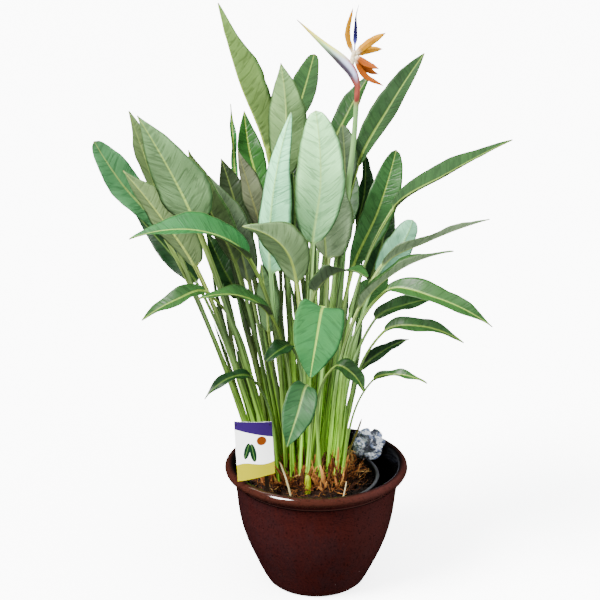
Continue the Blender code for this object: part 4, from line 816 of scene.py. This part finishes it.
def makeNursery():
    # outline from the middle of the underside out, up the side, round the rim and down the inside
    n = nursery
    top, base, low, high, wall = (n[key] for key in ("top", "base", "low", "high", "wall"))
    lip, under = top + n["rimWide"], high - n["rimDeep"]
    outline = [(0, low), (0.04, low), (base - 0.002, low), (base, low + 0.002)]
    z = np.linspace(low + 0.006, high - n["rimDeep"] - 0.002, 24)
    outline += [(base + (top - base) * (h - low) / (high - n["rimDeep"] - low), h) for h in z]
    outline += [(top, under), (lip - 0.0014, under), (lip - 0.001, under + 0.0006),
                (lip - 0.0002, high - 0.003),
                (lip - 0.0006, high - 0.0008), (lip - 0.002, high), (top + 0.0008, high),
                (top - wall + 0.0006, high - 0.0012)]
    for s in np.linspace(0, 0.99, 20):
        outline.append((top - wall - (top - base) * s, high - 0.003 - (high - low - 0.0055) * s))
    outline += [(base - wall - 0.002, low + 0.0025), (0.03, low + 0.0025), (0, low + 0.0025)]
    skin = turnedSkin(np.array(outline), 120, n["centre"])
    f = Finish("blackPlastic", Specular_IOR_Level=0.35)
    spot = f.place()
    dust = f.noise(spot, 60, 4, 0.6)
    height = f.split(spot)[2]
    tone = f.mix(dust.ease(0.48, 0.75) * 0.5, (0.0014, 0.0014, 0.0016), (0.0065, 0.006, 0.0055))
    # painted highlight: the top of the rim is lighter, bluish grey
    tone = f.mix(height.ease(0.2355, 0.2372) * 0.5, tone, (0.034, 0.036, 0.04))
    finish = f.paint(tone, 0.34 + dust * 0.25, f.noise(spot, 700, 2), 0.15, 0.0004)
    addPiece("nurseryPot", [skin], [finish], "nursery_pot", creaseAngle=45)
    print("nursery pot made")


makeNursery()


def pebble(centre, size, turn, stretch):
    # small lump: three rings of six and two poles, each point pushed out a little differently
    angle = np.arange(6) * math.pi / 3 + turn
    rings = np.stack([joined(r * np.cos(angle), r * np.sin(angle) * stretch, z)
                      for r, z in ((0.62, -0.62), (1.0, 0.0), (0.62, 0.62))])
    rings = rings * (1 + 0.22 * np.sin(5 * rings[..., :1] * 3 + turn * 7))
    return np.array(centre) + rings * size


def soilRadius(z):
    share = (z - soil["base"]) / (nursery["high"] - 0.003 - soil["base"])
    low = nursery["base"] - nursery["wall"]
    return low + (nursery["top"] - nursery["wall"] - low) * share - 0.0006


def crownOutline(angle, grow=0.0):
    lobes = 1 + 0.025 * np.sin(3 * angle + 0.6) + 0.018 * np.sin(7 * angle)
    return (crown["centre"][0] + (crown["halfWidth"] * lobes + grow) * np.cos(angle),
            crown["centre"][1] + (crown["halfDepth"] * lobes + grow) * np.sin(angle))


def crownSpot(x, y, share):  # the place at that share of the way from the crown's middle to x, y
    middle = crown["centre"]
    return middle[0] + (x - middle[0]) * share, middle[1] + (y - middle[1]) * share


def crownHeight(x, y):  # a dome: its top less its rise times the squared share of the way out
    middle = crown["centre"]
    out = ((x - middle[0]) / crown["halfWidth"]) ** 2 + ((y - middle[1]) / crown["halfDepth"]) ** 2
    return crown["edge"] + (crown["top"] - crown["edge"]) * (1 - np.clip(out, 0, 1))


def makeSoil():
    # turned solid whose top goes up and down by three ripples; crumbs lie on it
    angle = roundAngles(96)
    levels = (soil["base"], 0.08, 0.15, soil["top"] - 0.004)
    sizes = [(soilRadius(z), z) for z in levels]
    sizes += [(soilRadius(soil["top"]) * share, soil["top"]) for share in np.linspace(0.985, 0.03, 34)]
    rings = np.array([joined(r * np.cos(angle), r * np.sin(angle), z) for r, z in sizes])
    rings = rings + np.array((*nursery["centre"], 0))
    face = rings[len(levels):]
    bumps = soil["lump"] * (ripple(face, 0.05, 11) + 0.6 * ripple(face, 0.018, 12) + 0.35 * ripple(face,
            0.007, 13))
    face[..., 2] += np.clip(bumps, -0.006, 0.006)
    skins = [ringSkin(rings)]
    draw = np.random.default_rng(21)
    for _ in range(soil["crumbs"]):
        way, out = draw.uniform(0, 2 * math.pi), math.sqrt(draw.uniform(0.55, 0.985))
        x = nursery["centre"][0] + soilRadius(soil["top"]) * out * math.cos(way)
        y = nursery["centre"][1] + soilRadius(soil["top"]) * out * math.sin(way)
        size = draw.uniform(0.001, 0.0042)
        centre = (x, y, soil["top"] + size * 0.5 + draw.uniform(0, 0.003))
        skins.append(ringSkin(pebble(centre, size, draw.uniform(0, 6), draw.uniform(0.5, 1))))
    f = Finish("pottingSoil", Specular_IOR_Level=0.1)
    spot = f.place()
    clump = f.noise(spot, 130, 5, 0.65)
    bits = f.cells(spot, 210)
    tone = f.mix(clump.ease(0.35, 0.72), (0.0008, 0.0005, 0.0004), (0.0062, 0.0034, 0.0018))
    tone = f.mix(bits.fade(0.1, 0.26) * clump.ease(0.52, 0.64) * 0.7, tone, (0.034, 0.018, 0.008))
    finish = f.paint(tone, 0.8 + clump * 0.18, clump + bits * 0.4, 0.8, 0.003)
    addPiece("soilFill", skins, [finish], "soil")
    print("soil made")


makeSoil()


fibres = {"loose": 1300, "heaped": 650, "length": (0.012, 0.04), "strips": 420, "frontStems": 26}
fibreTones = ((0.13, 0.04, 0.008), (0.03, 0.009, 0.003), (0.22, 0.085, 0.018), (0.007, 0.0035, 0.0016),
              (0.34, 0.19, 0.055))
stripTones = ((0.21, 0.075, 0.016), (0.11, 0.032, 0.008), (0.31, 0.135, 0.03), (0.044, 0.014, 0.005))
# thick single bits that can be picked out: path, radius, colour
keepsakes = (
    (((-0.075, -0.096, 0.306), (-0.062, -0.104, 0.272), (-0.052, -0.106, 0.233)), 0.0019,
     (0.3, 0.25, 0.12)),
    (((0.06, -0.094, 0.262), (0.057, -0.102, 0.247), (0.053, -0.107, 0.232)), 0.0014, (0.28, 0.23, 0.13)),
    (((0.092, -0.03, 0.372), (0.084, -0.028, 0.345), (0.068, -0.026, 0.3), (0.06, -0.026, 0.245)), 0.0022,
     (0.085, 0.07, 0.014)),
    (((-0.0185, -0.086, 0.272), (-0.018, -0.086, 0.25), (-0.018, -0.085, 0.228)), 0.0062,
     (0.18, 0.23, 0.002)),
)


def coloured(skin, tone):
    skin["tone"] = np.broadcast_to(np.array((*tone, 1.0)), (len(skin["points"]), 4))
    return skin


def makeCrown():
    # a bumpy dome, thin bent fibres that start on it, and dry strips that stand at the feet of the stems
    draw = np.random.default_rng(5)
    x, y = crownOutline(roundAngles(96))
    rows = [joined(x, y, 0.205), joined(x, y, crown["foot"])]
    for share in np.linspace(0.995, 0.03, 30):
        px, py = crownSpot(x, y, share)
        rows.append(joined(px, py, crownHeight(px, py)))
    rings = np.array(rows)
    rings[2:, :, 2] += 0.0028 * ripple(rings[2:], 0.03, 31) + 0.0018 * ripple(rings[2:], 0.01, 32) - 0.002
    skins = [coloured(ringSkin(rings), (0.008, 0.003, 0.001))]
    edge = nursery["top"] - 0.006
    for k in range(fibres["loose"] + fibres["heaped"]):
        heaped = k >= fibres["loose"]
        way = draw.uniform(0, 2 * math.pi)
        out = draw.uniform(0.0, 1.0) ** 0.5 * (0.86 if heaped else 1.02)
        px, py = crownSpot(*crownOutline(way), out)
        lift = draw.uniform(0, 0.024) * math.exp(-((px - 0.01) / 0.05) ** 2) if heaped else 0
        start = np.array((px, py, float(crownHeight(px, py)) - 0.003 + lift))
        heading = way + draw.normal(0, 1.1)
        slope = draw.uniform(0.3, 1.5) if heaped else draw.uniform(0.0, 0.9)
        length = draw.uniform(*fibres["length"]) * (1.15 if heaped else 0.85)
        flat = math.cos(slope)
        end = start + np.array((math.cos(heading) * flat, math.sin(heading) * flat,
                                math.sin(slope))) * length
        reach = np.hypot(end[0] - nursery["centre"][0], end[1] - nursery["centre"][1])
        if reach > edge:
            end[:2] = np.array(nursery["centre"]) + (end[:2] - nursery["centre"]) * edge / reach
        line = evenPath((start, (start + end) / 2 + draw.normal(0, 0.26, 3) * length, end), 6)
        line[:, 2] = np.maximum(line[:, 2], 0.2225)
        thick = draw.uniform(0.0004,
                             0.0013 if heaped else 0.0009) * np.array((1.2, 1.1, 1.0, 0.8, 0.6, 0.3))
        chance = (0.34, 0.2, 0.24, 0.12, 0.1) if heaped else (0.16, 0.4, 0.09, 0.32, 0.03)
        tone = np.array(fibreTones[draw.choice(5, p=chance)]) * draw.uniform(0.7, 1.35)
        skins.append(coloured(ringSkin(ovalRings(line, (0.3, 0.2, 0.9), thick, thick * 0.7, 4)), tone))
    low = np.linspace(0, 0.3, 10)
    stems = np.array([stemLine(item, low, feet[i], bulges[i]) for i, item in enumerate(leafTable.values())])
    front = stems[np.argsort(stems[:, 0, 1])[:fibres["frontStems"]]]
    for k in range(fibres["strips"]):
        stem = front[draw.integers(len(front))]
        foot = stem[0] + np.array((draw.uniform(-0.012, 0.012), draw.uniform(-0.014, 0.002), 0.01))
        rise = draw.uniform(0.15, 0.7) if k % 3 else draw.uniform(0.5, 1.9)
        aside = np.array((draw.uniform(-0.018, 0.018), draw.uniform(-0.022, 0.0),
                          draw.uniform(0.008, 0.026)))
        top = stem[0] + (stem[3] - stem[0]) * rise + aside
        line = evenPath((foot, (foot + top) / 2 + draw.normal(0, 0.003, 3), top), 10)
        wide = draw.uniform(0.0012, 0.0042) * np.sin(np.linspace(0.9, 3.05, 10)) ** 0.6
        skin = ringSkin(ovalRings(line, (0.2, -1, 0.1), wide, np.full(10, 0.0005), 8))
        skins.append(coloured(skin, np.array(stripTones[k % 4]) * draw.uniform(0.6, 1.3)))
    for path, radius, tone in keepsakes:
        line = evenPath(path, 14)
        wide = radius * np.concatenate(((0.35, 0.8), np.linspace(1, 1.1, 12)))
        skins.append(coloured(ringSkin(ovalRings(line, (0.2, -1, 0.1), wide, wide, 10)), tone))
    f = Finish("rootFibre", Specular_IOR_Level=0.12)
    spot = f.place()
    grain = f.noise(f.stretched(spot, (300, 300, 90)), 1.0, 4, 0.6)
    cloud = f.noise(spot, 40, 3)
    tone = f.shade(f.field("tone"), 0.3 + grain * 1.1 + (cloud - 0.5) * 0.9)
    finish = f.paint(tone, 0.72 + grain * 0.2, grain, 0.7, 0.0012)
    addPiece("rootCrown", skins, [finish], "root_crown")
    print("root crown made:", len(skins), "parts")


makeCrown()


flower = {
    "bract": ((0.0755, -0.019, 1.055), (0.0655, -0.021, 1.082), (0.045, -0.022, 1.106),
              (0.005, -0.023, 1.141), (-0.04, -0.024, 1.182)),
    "bractHeights": (0.0056, 0.0102, 0.0108, 0.0054, 0.0006),
    "bractWidths": (0.0056, 0.008, 0.0075, 0.0045, 0.0006),
    "bloomBase": (0.0635, -0.0215, 1.098), "bloomTop": (0.069, -0.0215, 1.124), "bloomRadius": 0.0052,
    "sepals": (  # tip, width, how far the middle lies off the straight line
        ((0.0648, -0.03, 1.205), 0.01, (-0.0105, 0, -0.005)), ((0.1268, -0.032, 1.1586), 0.014,
                (0.002, 0, 0.004)),
        ((0.1226, -0.01, 1.1246), 0.0125, (0.003, 0, 0.004)), ((0.1152, -0.04, 1.0918), 0.0125,
                (0.0005, 0, -0.003)),
        ((0.1152, -0.014, 1.0769), 0.0115, (0, 0, -0.007)), ((0.1245, -0.034, 1.0584), 0.0105,
                (-0.008, 0, -0.008)),
    ),
    "tongue": ((0.069, -0.0215, 1.118), (0.07, -0.0215, 1.143), (0.0706, -0.021, 1.165),
               (0.0714, -0.02, 1.189),
               (0.0765, -0.019, 1.2095)),
}


def surfaceShares(count, around, number):
    # share along (0 to 1), share around (0 to 1) and a free number for each grid point
    return joined(np.linspace(0, 1, count)[:, None], np.arange(around) / around, number)


def makeStalk():
    t = np.linspace(0, 1, 90)
    line = smoothPath(stalk["path"], t)
    radii = stalk["radius"] * (stalk["flare"] - 0.3 * t) * (1 + 0.02 * np.sin(40 * t))
    stem = ringSkin(ovalRings(line, (0, 1, 0), radii, radii, 20), share=surfaceShares(90, 20, 0))
    # bract: an oval section with a sharper keel, and a slit on its upper side
    s = np.linspace(0, 1, 70)
    path = smoothPath(flower["bract"], s)
    path = np.vstack((line[-8] * 0.5 + line[-4] * 0.5, line[-1] * 0.7 + path[0] * 0.3, path))
    sizes = smoothPath([(h, w, 0) for h, w in zip(flower["bractHeights"], flower["bractWidths"])], s)
    heights, widths = (np.concatenate(((0.0045, 0.0052), np.maximum(sizes[:, k], 0.0005))) for k in (0, 1))
    sides, normals = crossFrame(path, (1, 0, 0))
    around = 32
    angle = roundAngles(around)[None, :]
    inside = easeStep(np.linspace(0, 1, len(path)), 0.12, 0.3)[:, None]
    slit = 0.3 * np.exp(-((np.angle(np.exp(1j * (angle - math.pi / 2))) / 0.22) ** 2)) * inside
    keel = 1 - 0.3 * np.clip(-np.sin(angle), 0, 1) ** 2 * inside
    x = widths[:, None] * np.cos(angle) * keel
    z = heights[:, None] * (np.sin(angle) - slit)
    bract = ringSkin(sweptRings(path, sides, normals, x, z), share=surfaceShares(len(path), around, 1))
    bract["share"][:, 1] = np.concatenate((np.tile(np.sin(angle[0]), len(path)), (0, 0)))
    f = Finish("stalkSkin", Specular_IOR_Level=0.14)
    along, up, isBract = f.split(f.field("share", 1))
    spot = f.place()
    cloud = f.noise(spot, 60, 3)
    streak = f.noise(f.stretched(spot, (500, 500, 30)), 1.0, 2)
    stemTone = f.mix(along.ease(0.0, 0.35), (0.07, 0.13, 0.012), (0.12, 0.24, 0.075))
    stemTone = f.mix(along.ease(0.945, 0.995) * 0.85, stemTone, (0.21, 0.05, 0.034))
    side = f.mix(along.ease(0.42, 0.8), (0.36, 0.38, 0.54), (0.24, 0.46, 0.15))
    side = f.mix(up.ease(0.35, 0.9) * along.fade(0.35, 0.65), side, (0.2, 0.026, 0.012))
    side = f.mix((0.2 - up).ease(0.0, 0.6) * along.fade(0.55, 0.85) * 0.9, side, (0.022, 0.007, 0.01))
    side = f.mix(up.ease(0.1, 0.75) * along.ease(0.4, 0.7) * 0.9, side, (0.46, 0.44, 0.04))
    side = f.mix(along.fade(0.06, 0.26), side, (0.22, 0.046, 0.032))
    side = f.mix(along.ease(0.7, 0.9), side, (0.44, 0.36, 0.05))
    side = f.mix(along.ease(0.92, 0.99), side, (0.1, 0.045, 0.02))
    tone = f.shade(f.mix(isBract, stemTone, side), 0.8 + streak * 0.3 + (cloud - 0.5) * 0.25)
    finish = f.paint(tone, 0.38 + cloud * 0.14, streak, 0.25, 0.0006)
    addPiece("flowerStalk", [stem, bract], [finish], "flower_stalk")
    print("stalk and bract made")


makeStalk()


def makeSepals():
    # each sepal is a lance whose section is a shallow V, thicker in its middle
    base, top = np.array(flower["bloomBase"]), np.array(flower["bloomTop"])
    radii = flower["bloomRadius"] * np.linspace(1, 0.8, 8)
    knob = ovalRings(np.linspace(base, top, 8), (0, 1, 0), radii, radii, 16)
    skins = [ringSkin(knob, share=surfaceShares(8, 16, 0) * 0.1)]
    root = base * 0.35 + top * 0.65
    t = np.linspace(0, 1, 40)
    a, isTop = twoSides(8)
    shape = ((0, 0.25, 0.5, 0.75, 0.93, 1), (0.3, 0.92, 1.0, 0.75, 0.28, 0.05))
    for k, (tip, width, bow) in enumerate(flower["sepals"]):
        tip = np.array(tip)
        middle = (root + tip) / 2 + np.array(bow)
        line = smoothPath((root, middle, tip), t)
        sides, normals = crossFrame(line, (0.1, -1.0, 0.25))
        half = width * 0.55 * np.interp(t, *shape)[:, None]
        half = half * (1 + 0.03 * np.sin(30 * t + k))[:, None]
        wave = 0.0007 * np.sin(16 * t + 2 * k)[:, None] * np.sign(a) * a * a
        lift = (0.0016 * (1 - 0.5 * t[:, None]) - np.abs(a) * half * 0.24) + wave
        lift = lift - (1 - isTop) * 0.0012 * (1 - a**4)
        skins.append(ringSkin(sweptRings(line, sides, normals, a * half, lift),
                              share=joined(t[:, None], a, k)))
    f = Finish("sepalPetal", Specular_IOR_Level=0.08)
    along, across, seed = f.split(f.field("share", 1))
    spot = f.place()
    lines = (across * 26 + f.noise(spot, 60, 2) * 3).sine()
    cloud = f.noise(spot, 120, 3)
    orange = f.mix(seed.ease(2.2, 2.8), (0.3, 0.122, 0.0),
                   (0.155, 0.033, 0.0))  # the lower sepals are redder
    tone = f.mix(along.ease(0.03, 0.24), (0.7, 0.64, 0.46), orange)
    # painted highlight: yellow clouds on the upper sepals
    tone = f.mix(cloud.ease(0.45, 0.75) * seed.fade(2.2, 2.8) * 0.5, tone, (0.36, 0.2, 0.002))
    tone = f.mix(across.size().fade(0.0, 0.22) * 0.35, tone, (0.09, 0.012, 0.0))
    tone = f.shade(tone, 0.94 + lines * 0.06)
    finish = f.paint(tone, 0.4 + cloud * 0.15, lines, 0.3, 0.0005)
    addPiece("flowerSepals", skins, [finish], "flower_sepals")


def makeTongue():
    # a shaft with a long arrow head and a thread-like tip; two barbs lie against the shaft
    t = np.linspace(0, 1, 70)
    line = smoothPath(flower["tongue"], t)
    width = np.interp(t, (0, 0.16, 0.22, 0.25, 0.3, 0.5, 0.65, 0.76, 1),
                      (0.0012, 0.0014, 0.0032, 0.0043, 0.0042, 0.0035, 0.0022, 0.0011, 0.0004))
    thick = np.interp(t, (0, 0.5, 1), (0.0018, 0.0014, 0.0005))
    around = 16
    angle = roundAngles(around)[None, :]
    sides, normals = crossFrame(line, (0, 1, 0))
    dent = 1 - 0.35 * np.exp(-((np.cos(angle) / 0.3) ** 2)) * easeStep(t, 0.3, 0.5)[:, None]
    x = width[:, None] * np.cos(angle)
    z = thick[:, None] * np.sin(angle) * dent
    skin = ringSkin(sweptRings(line, sides, normals, x, z), share=surfaceShares(70, around, 0))
    f = Finish("tonguePetal", Specular_IOR_Level=0.1)
    along = f.split(f.field("share", 1))[0]
    spot = f.place()
    cloud = f.noise(spot, 160, 3)
    tone = f.mix(along.ease(0.08, 0.36), (0.06, 0.06, 0.26), (0.0034, 0.0022, 0.03))
    tone = f.mix(along.ease(0.72, 0.95), tone, (0.04, 0.034, 0.08))
    tone = f.shade(tone, 0.78 + cloud * 0.45)
    finish = f.paint(tone, 0.42 + cloud * 0.12, cloud, 0.3, 0.0005)
    addPiece("flowerTongue", [skin], [finish], "flower_tongue")
    print("flower made")


makeSepals()
makeTongue()


tag = {"corners": ((-0.165, -0.12, 0.405), (-0.09, -0.114, 0.402), (-0.084, -0.114, 0.29),
                   (-0.159, -0.12, 0.274)),
       "thickness": 0.0012, "stakeTop": (-0.104, -0.116, 0.318), "stakeFoot": (-0.096, -0.084, 0.19),
       "stakeWidth": 0.009, "stakeThickness": 0.0022}


def makeTag():
    # card: straight from edge to edge, bowed forwards by 4 mm times sin(pi u), and by 1.2 mm times
    # sin(pi v)(1 - u)
    topLeft, topRight, lowRight, lowLeft = (np.array(c) for c in tag["corners"])
    u, v = np.meshgrid(np.linspace(0, 1, 41), np.linspace(0, 1, 49), indexing="ij")
    bow = joined(0, -0.004 * np.sin(math.pi * u) - 0.0012 * np.sin(math.pi * v) * (1 - u), 0)
    front = ((lowLeft + (lowRight - lowLeft) * u[..., None]) * (1 - v[..., None])
             + (topLeft + (topRight - topLeft) * u[..., None]) * v[..., None] + bow)
    back = front + np.array((0, tag["thickness"], 0))
    both = np.concatenate((front, back[:, ::-1]), axis=1)
    spots = np.concatenate((joined(u, v, 1), joined(u, v, 0)[:, ::-1]), axis=1)
    card = ringSkin(both, print=spots)
    low, high = np.array(tag["stakeFoot"]), np.array(tag["stakeTop"])
    axis = unit(high - low)
    side = unit(np.cross(axis, (0, 1, 0)))
    out = np.cross(side, axis)
    half, thick = tag["stakeWidth"] / 2, tag["stakeThickness"] / 2
    angle = np.linspace(0, 2 * math.pi, 17)[:-1]
    box = joined(np.cos(angle), np.sin(angle))
    box = np.sign(box) * np.abs(box) ** 0.3
    rows = []
    for s in np.linspace(0, 1, 24):
        narrow = 0.3 + 0.7 * easeStep(s, 0, 0.16)
        rows.append(low + (high - low) * s + side * (box[:, :1] * half * narrow) + out * (box[:,
                1:] * thick))
    f = Finish("tagCard", Specular_IOR_Level=0.1)
    across, up, isFront = f.split(f.field("print", 1))
    spot = f.place()
    grain = f.noise(spot, 900, 2)
    white = f.mix(grain, (0.76, 0.76, 0.74), (0.84, 0.84, 0.82))
    # flat shapes: a yellow hill, a violet sky band and a round sun over two leaves
    wave = (across * 5.2 + 0.6).sine() * 0.035
    hill = (up - wave).fade(0.255, 0.262)
    band = (up + across * 0.16).ease(0.868, 0.874)
    paint = f.mix(hill, white, (0.25, 0.226, 0.0))
    paint = f.mix(band, paint, (0.016, 0.0045, 0.056))
    sun = ((across - 0.7) ** 2 * 0.5 + (up - 0.66) ** 2 * 1.25) ** 0.5
    paint = f.mix(sun.fade(0.088, 0.094), paint, (0.11, 0.022, 0.0))
    for spotX, spotY, lean in ((0.3, 0.5, 0.55), (0.46, 0.46, -0.25)):
        x, y = across - spotX, up - spotY
        shape = ((x - y * lean) ** 2 * 34 + (y + x * lean) ** 2 * 8) ** 0.5
        paint = f.mix(shape.fade(0.47, 0.5), paint, (0.002, 0.015, 0.005))
        rib = (x - y * lean).size().fade(0.004, 0.008) * shape.fade(0.38, 0.44)
        paint = f.mix(rib, paint, (0.07, 0.15, 0.03))
    for spotX in (0.055, 0.945):
        hole = ((across - spotX) ** 2 * 0.5 + (up - 0.945) ** 2 * 1.25) ** 0.5
        paint = f.mix(hole.fade(0.014, 0.018), paint, (0.006, 0.006, 0.006))
    paint = f.mix(isFront, white, paint)
    finish = f.paint(paint, 0.34 + grain * 0.12, grain, 0.08, 0.0003)
    p = Finish("tagStake", Specular_IOR_Level=0.2)
    haze = p.noise(p.place(), 90, 3)
    # the stake is pale grey above about 0.29 m and dark brown below
    paleTop = p.split(p.place())[2].ease(0.285, 0.3)
    tone = p.mix(paleTop, p.mix(haze, (0.004, 0.003, 0.002), (0.03, 0.018, 0.009)), (0.3, 0.3, 0.28))
    stakePaint = p.paint(tone, 0.35 + haze * 0.2, haze, 0.1, 0.0004)
    stake = {**ringSkin(np.array(rows)), "material": 1}
    addPiece("careTag", [card, stake], [finish, stakePaint], "care_tag", creaseAngle=35)
    print("care tag made")


makeTag()


wad = {"centre": (0.112, 0.088, 0.265), "radius": 0.0345, "rows": 150, "around": 190, "wall": 0.157,
       "folds": ((0.14, 1.9, 44), (0.1, 1.05, 45),
                 (0.045, 0.5, 46))}  # depth, length and seed of each ripple


def makeWad():
    # ball whose radius follows the sharp valleys of several ripples: 1 - 2|ripple|, added up
    lat = np.linspace(0.004, math.pi - 0.004, wad["rows"])[:, None]
    lon = roundAngles(wad["around"])[None, :]
    way = joined(np.sin(lat) * np.cos(lon), np.sin(lat) * np.sin(lon), np.cos(lat))
    warp = way + 0.22 * np.stack([ripple(way, 1.1, s) for s in (41, 42, 43)], -1)
    crease = sum(depth * (1 - 2 * np.abs(ripple(warp, size, seed, 9))) for depth, size,
                 seed in wad["folds"])
    radius = wad["radius"] * np.clip(0.95 + crease * 0.8, 0.72, 1.06)
    rings = np.array(wad["centre"]) + way * radius[..., None]
    # below the rim it is squeezed: no point lies further out than just inside the glazed pot's wall
    flat = rings[..., :2]
    out = np.linalg.norm(flat, axis=-1, keepdims=True)
    below = easeStep(rings[..., 2:], 0.268, 0.246)
    rings[..., :2] = flat * (1 - below + below * np.minimum(1, wad["wall"] / out))
    f = Finish("clearFilm", Transmission_Weight=0.35, IOR=1.45, Coat_Weight=0.8, Coat_Roughness=0.04)
    spot = f.place()
    folds = f.noise(spot, 58, 5, 0.6)
    sharp = (folds - 0.5).size() * 6
    # painted highlights and shade: thin white lines along the folds stand for glints on the clear film, and
    # dark patches for shade between the folds
    tone = f.mix(sharp.ease(0.06, 0.36), (0.92, 0.96, 1.0), (0.19, 0.23, 0.35))
    tone = f.mix(f.noise(spot, 40, 3).ease(0.52, 0.61) * 0.92, tone, (0.01, 0.011, 0.018))
    finish = f.paint(tone, 0.1 + folds * 0.12, sharp, 0.9, 0.004)
    addPiece("packingWad", [ringSkin(rings)], [finish], "packing_wad", creaseAngle=30)
    print("packing wad made")


makeWad()


studio = {"floor": 0.86, "reach": 40, "glow": 3.6, "world": (0.95, 0.97, 1.0), "worldPower": 1.6,
          "lens": 91.38, "sensor": 36, "eye": (-0.034, -2.9, 1.6), "downwards": 18.7,
          "suns": (  # direction that the light comes from, strength, angle of its disc, tint
              ("windowSun", (-0.8, -0.58, 1.05), 19.0, 24, (1.0, 0.985, 0.955)),
              ("fillSun", (0.95, -0.75, 0.55), 3.2, 60, (0.93, 0.96, 1.0)),
              ("skySun", (0.2, -0.3, 1.0), 7.0, 60, (0.97, 0.99, 1.0)),
              ("backSun", (0.35, 0.95, 0.5), 3.5, 60, (0.97, 0.99, 1.0)))}


def makeStudio():
    r = studio["reach"]
    rings = np.array([[(x, y, z) for x, y in ((-r, -r), (r, -r), (r, r), (-r, r))] for z in (-0.05, 0.0)])
    mesh = bpy.data.meshes.new("studioFloor")
    skin = ringSkin(rings)
    mesh.from_pydata(skin["points"].tolist(), [], skin["faces"])
    floor = bpy.data.objects.new("studioFloor", mesh)
    bpy.context.scene.collection.objects.link(floor)
    f = Finish("studioFloor", Emission_Strength=studio["glow"])
    haze = f.noise(f.place(), 3, 2)
    tone = f.mix(haze, (studio["floor"],) * 3, (studio["floor"] * 1.02,) * 3)
    mesh.materials.append(f.paint(tone, 0.7 + haze * 0.1))
    floor.visible_glossy = floor.visible_diffuse = False  # the lit floor throws no light back on the plant
    world = bpy.data.worlds.new("studio")
    world.use_nodes = True
    sky = world.node_tree.nodes["Background"].inputs
    sky["Color"].default_value = (*studio["world"], 1)
    sky["Strength"].default_value = studio["worldPower"]
    bpy.context.scene.world = world
    world.cycles_visibility.glossy = False  # no grey veil on leaves and pot from the empty room
    for name, way, strength, disc, tint in studio["suns"]:
        lamp = bpy.data.lights.new(name, "SUN")
        lamp.energy, lamp.angle, lamp.color = strength, math.radians(disc), tint
        made = bpy.data.objects.new(name, lamp)
        x, y, z = way
        made.rotation_euler = (math.atan2(math.hypot(x, y), z), 0, math.atan2(y, x) + math.pi / 2)
        made.visible_glossy = disc < 50  # the wide suns only fill shadows
        bpy.context.scene.collection.objects.link(made)
    lens = bpy.data.cameras.new("photoView")
    lens.lens, lens.sensor_width = studio["lens"], studio["sensor"]
    view = bpy.data.objects.new("photoView", lens)
    view.location = studio["eye"]
    view.rotation_euler = (math.radians(90 - studio["downwards"]), 0, 0)
    bpy.context.scene.collection.objects.link(view)
    bpy.context.scene.camera = view
    print("studio made")


makeStudio()
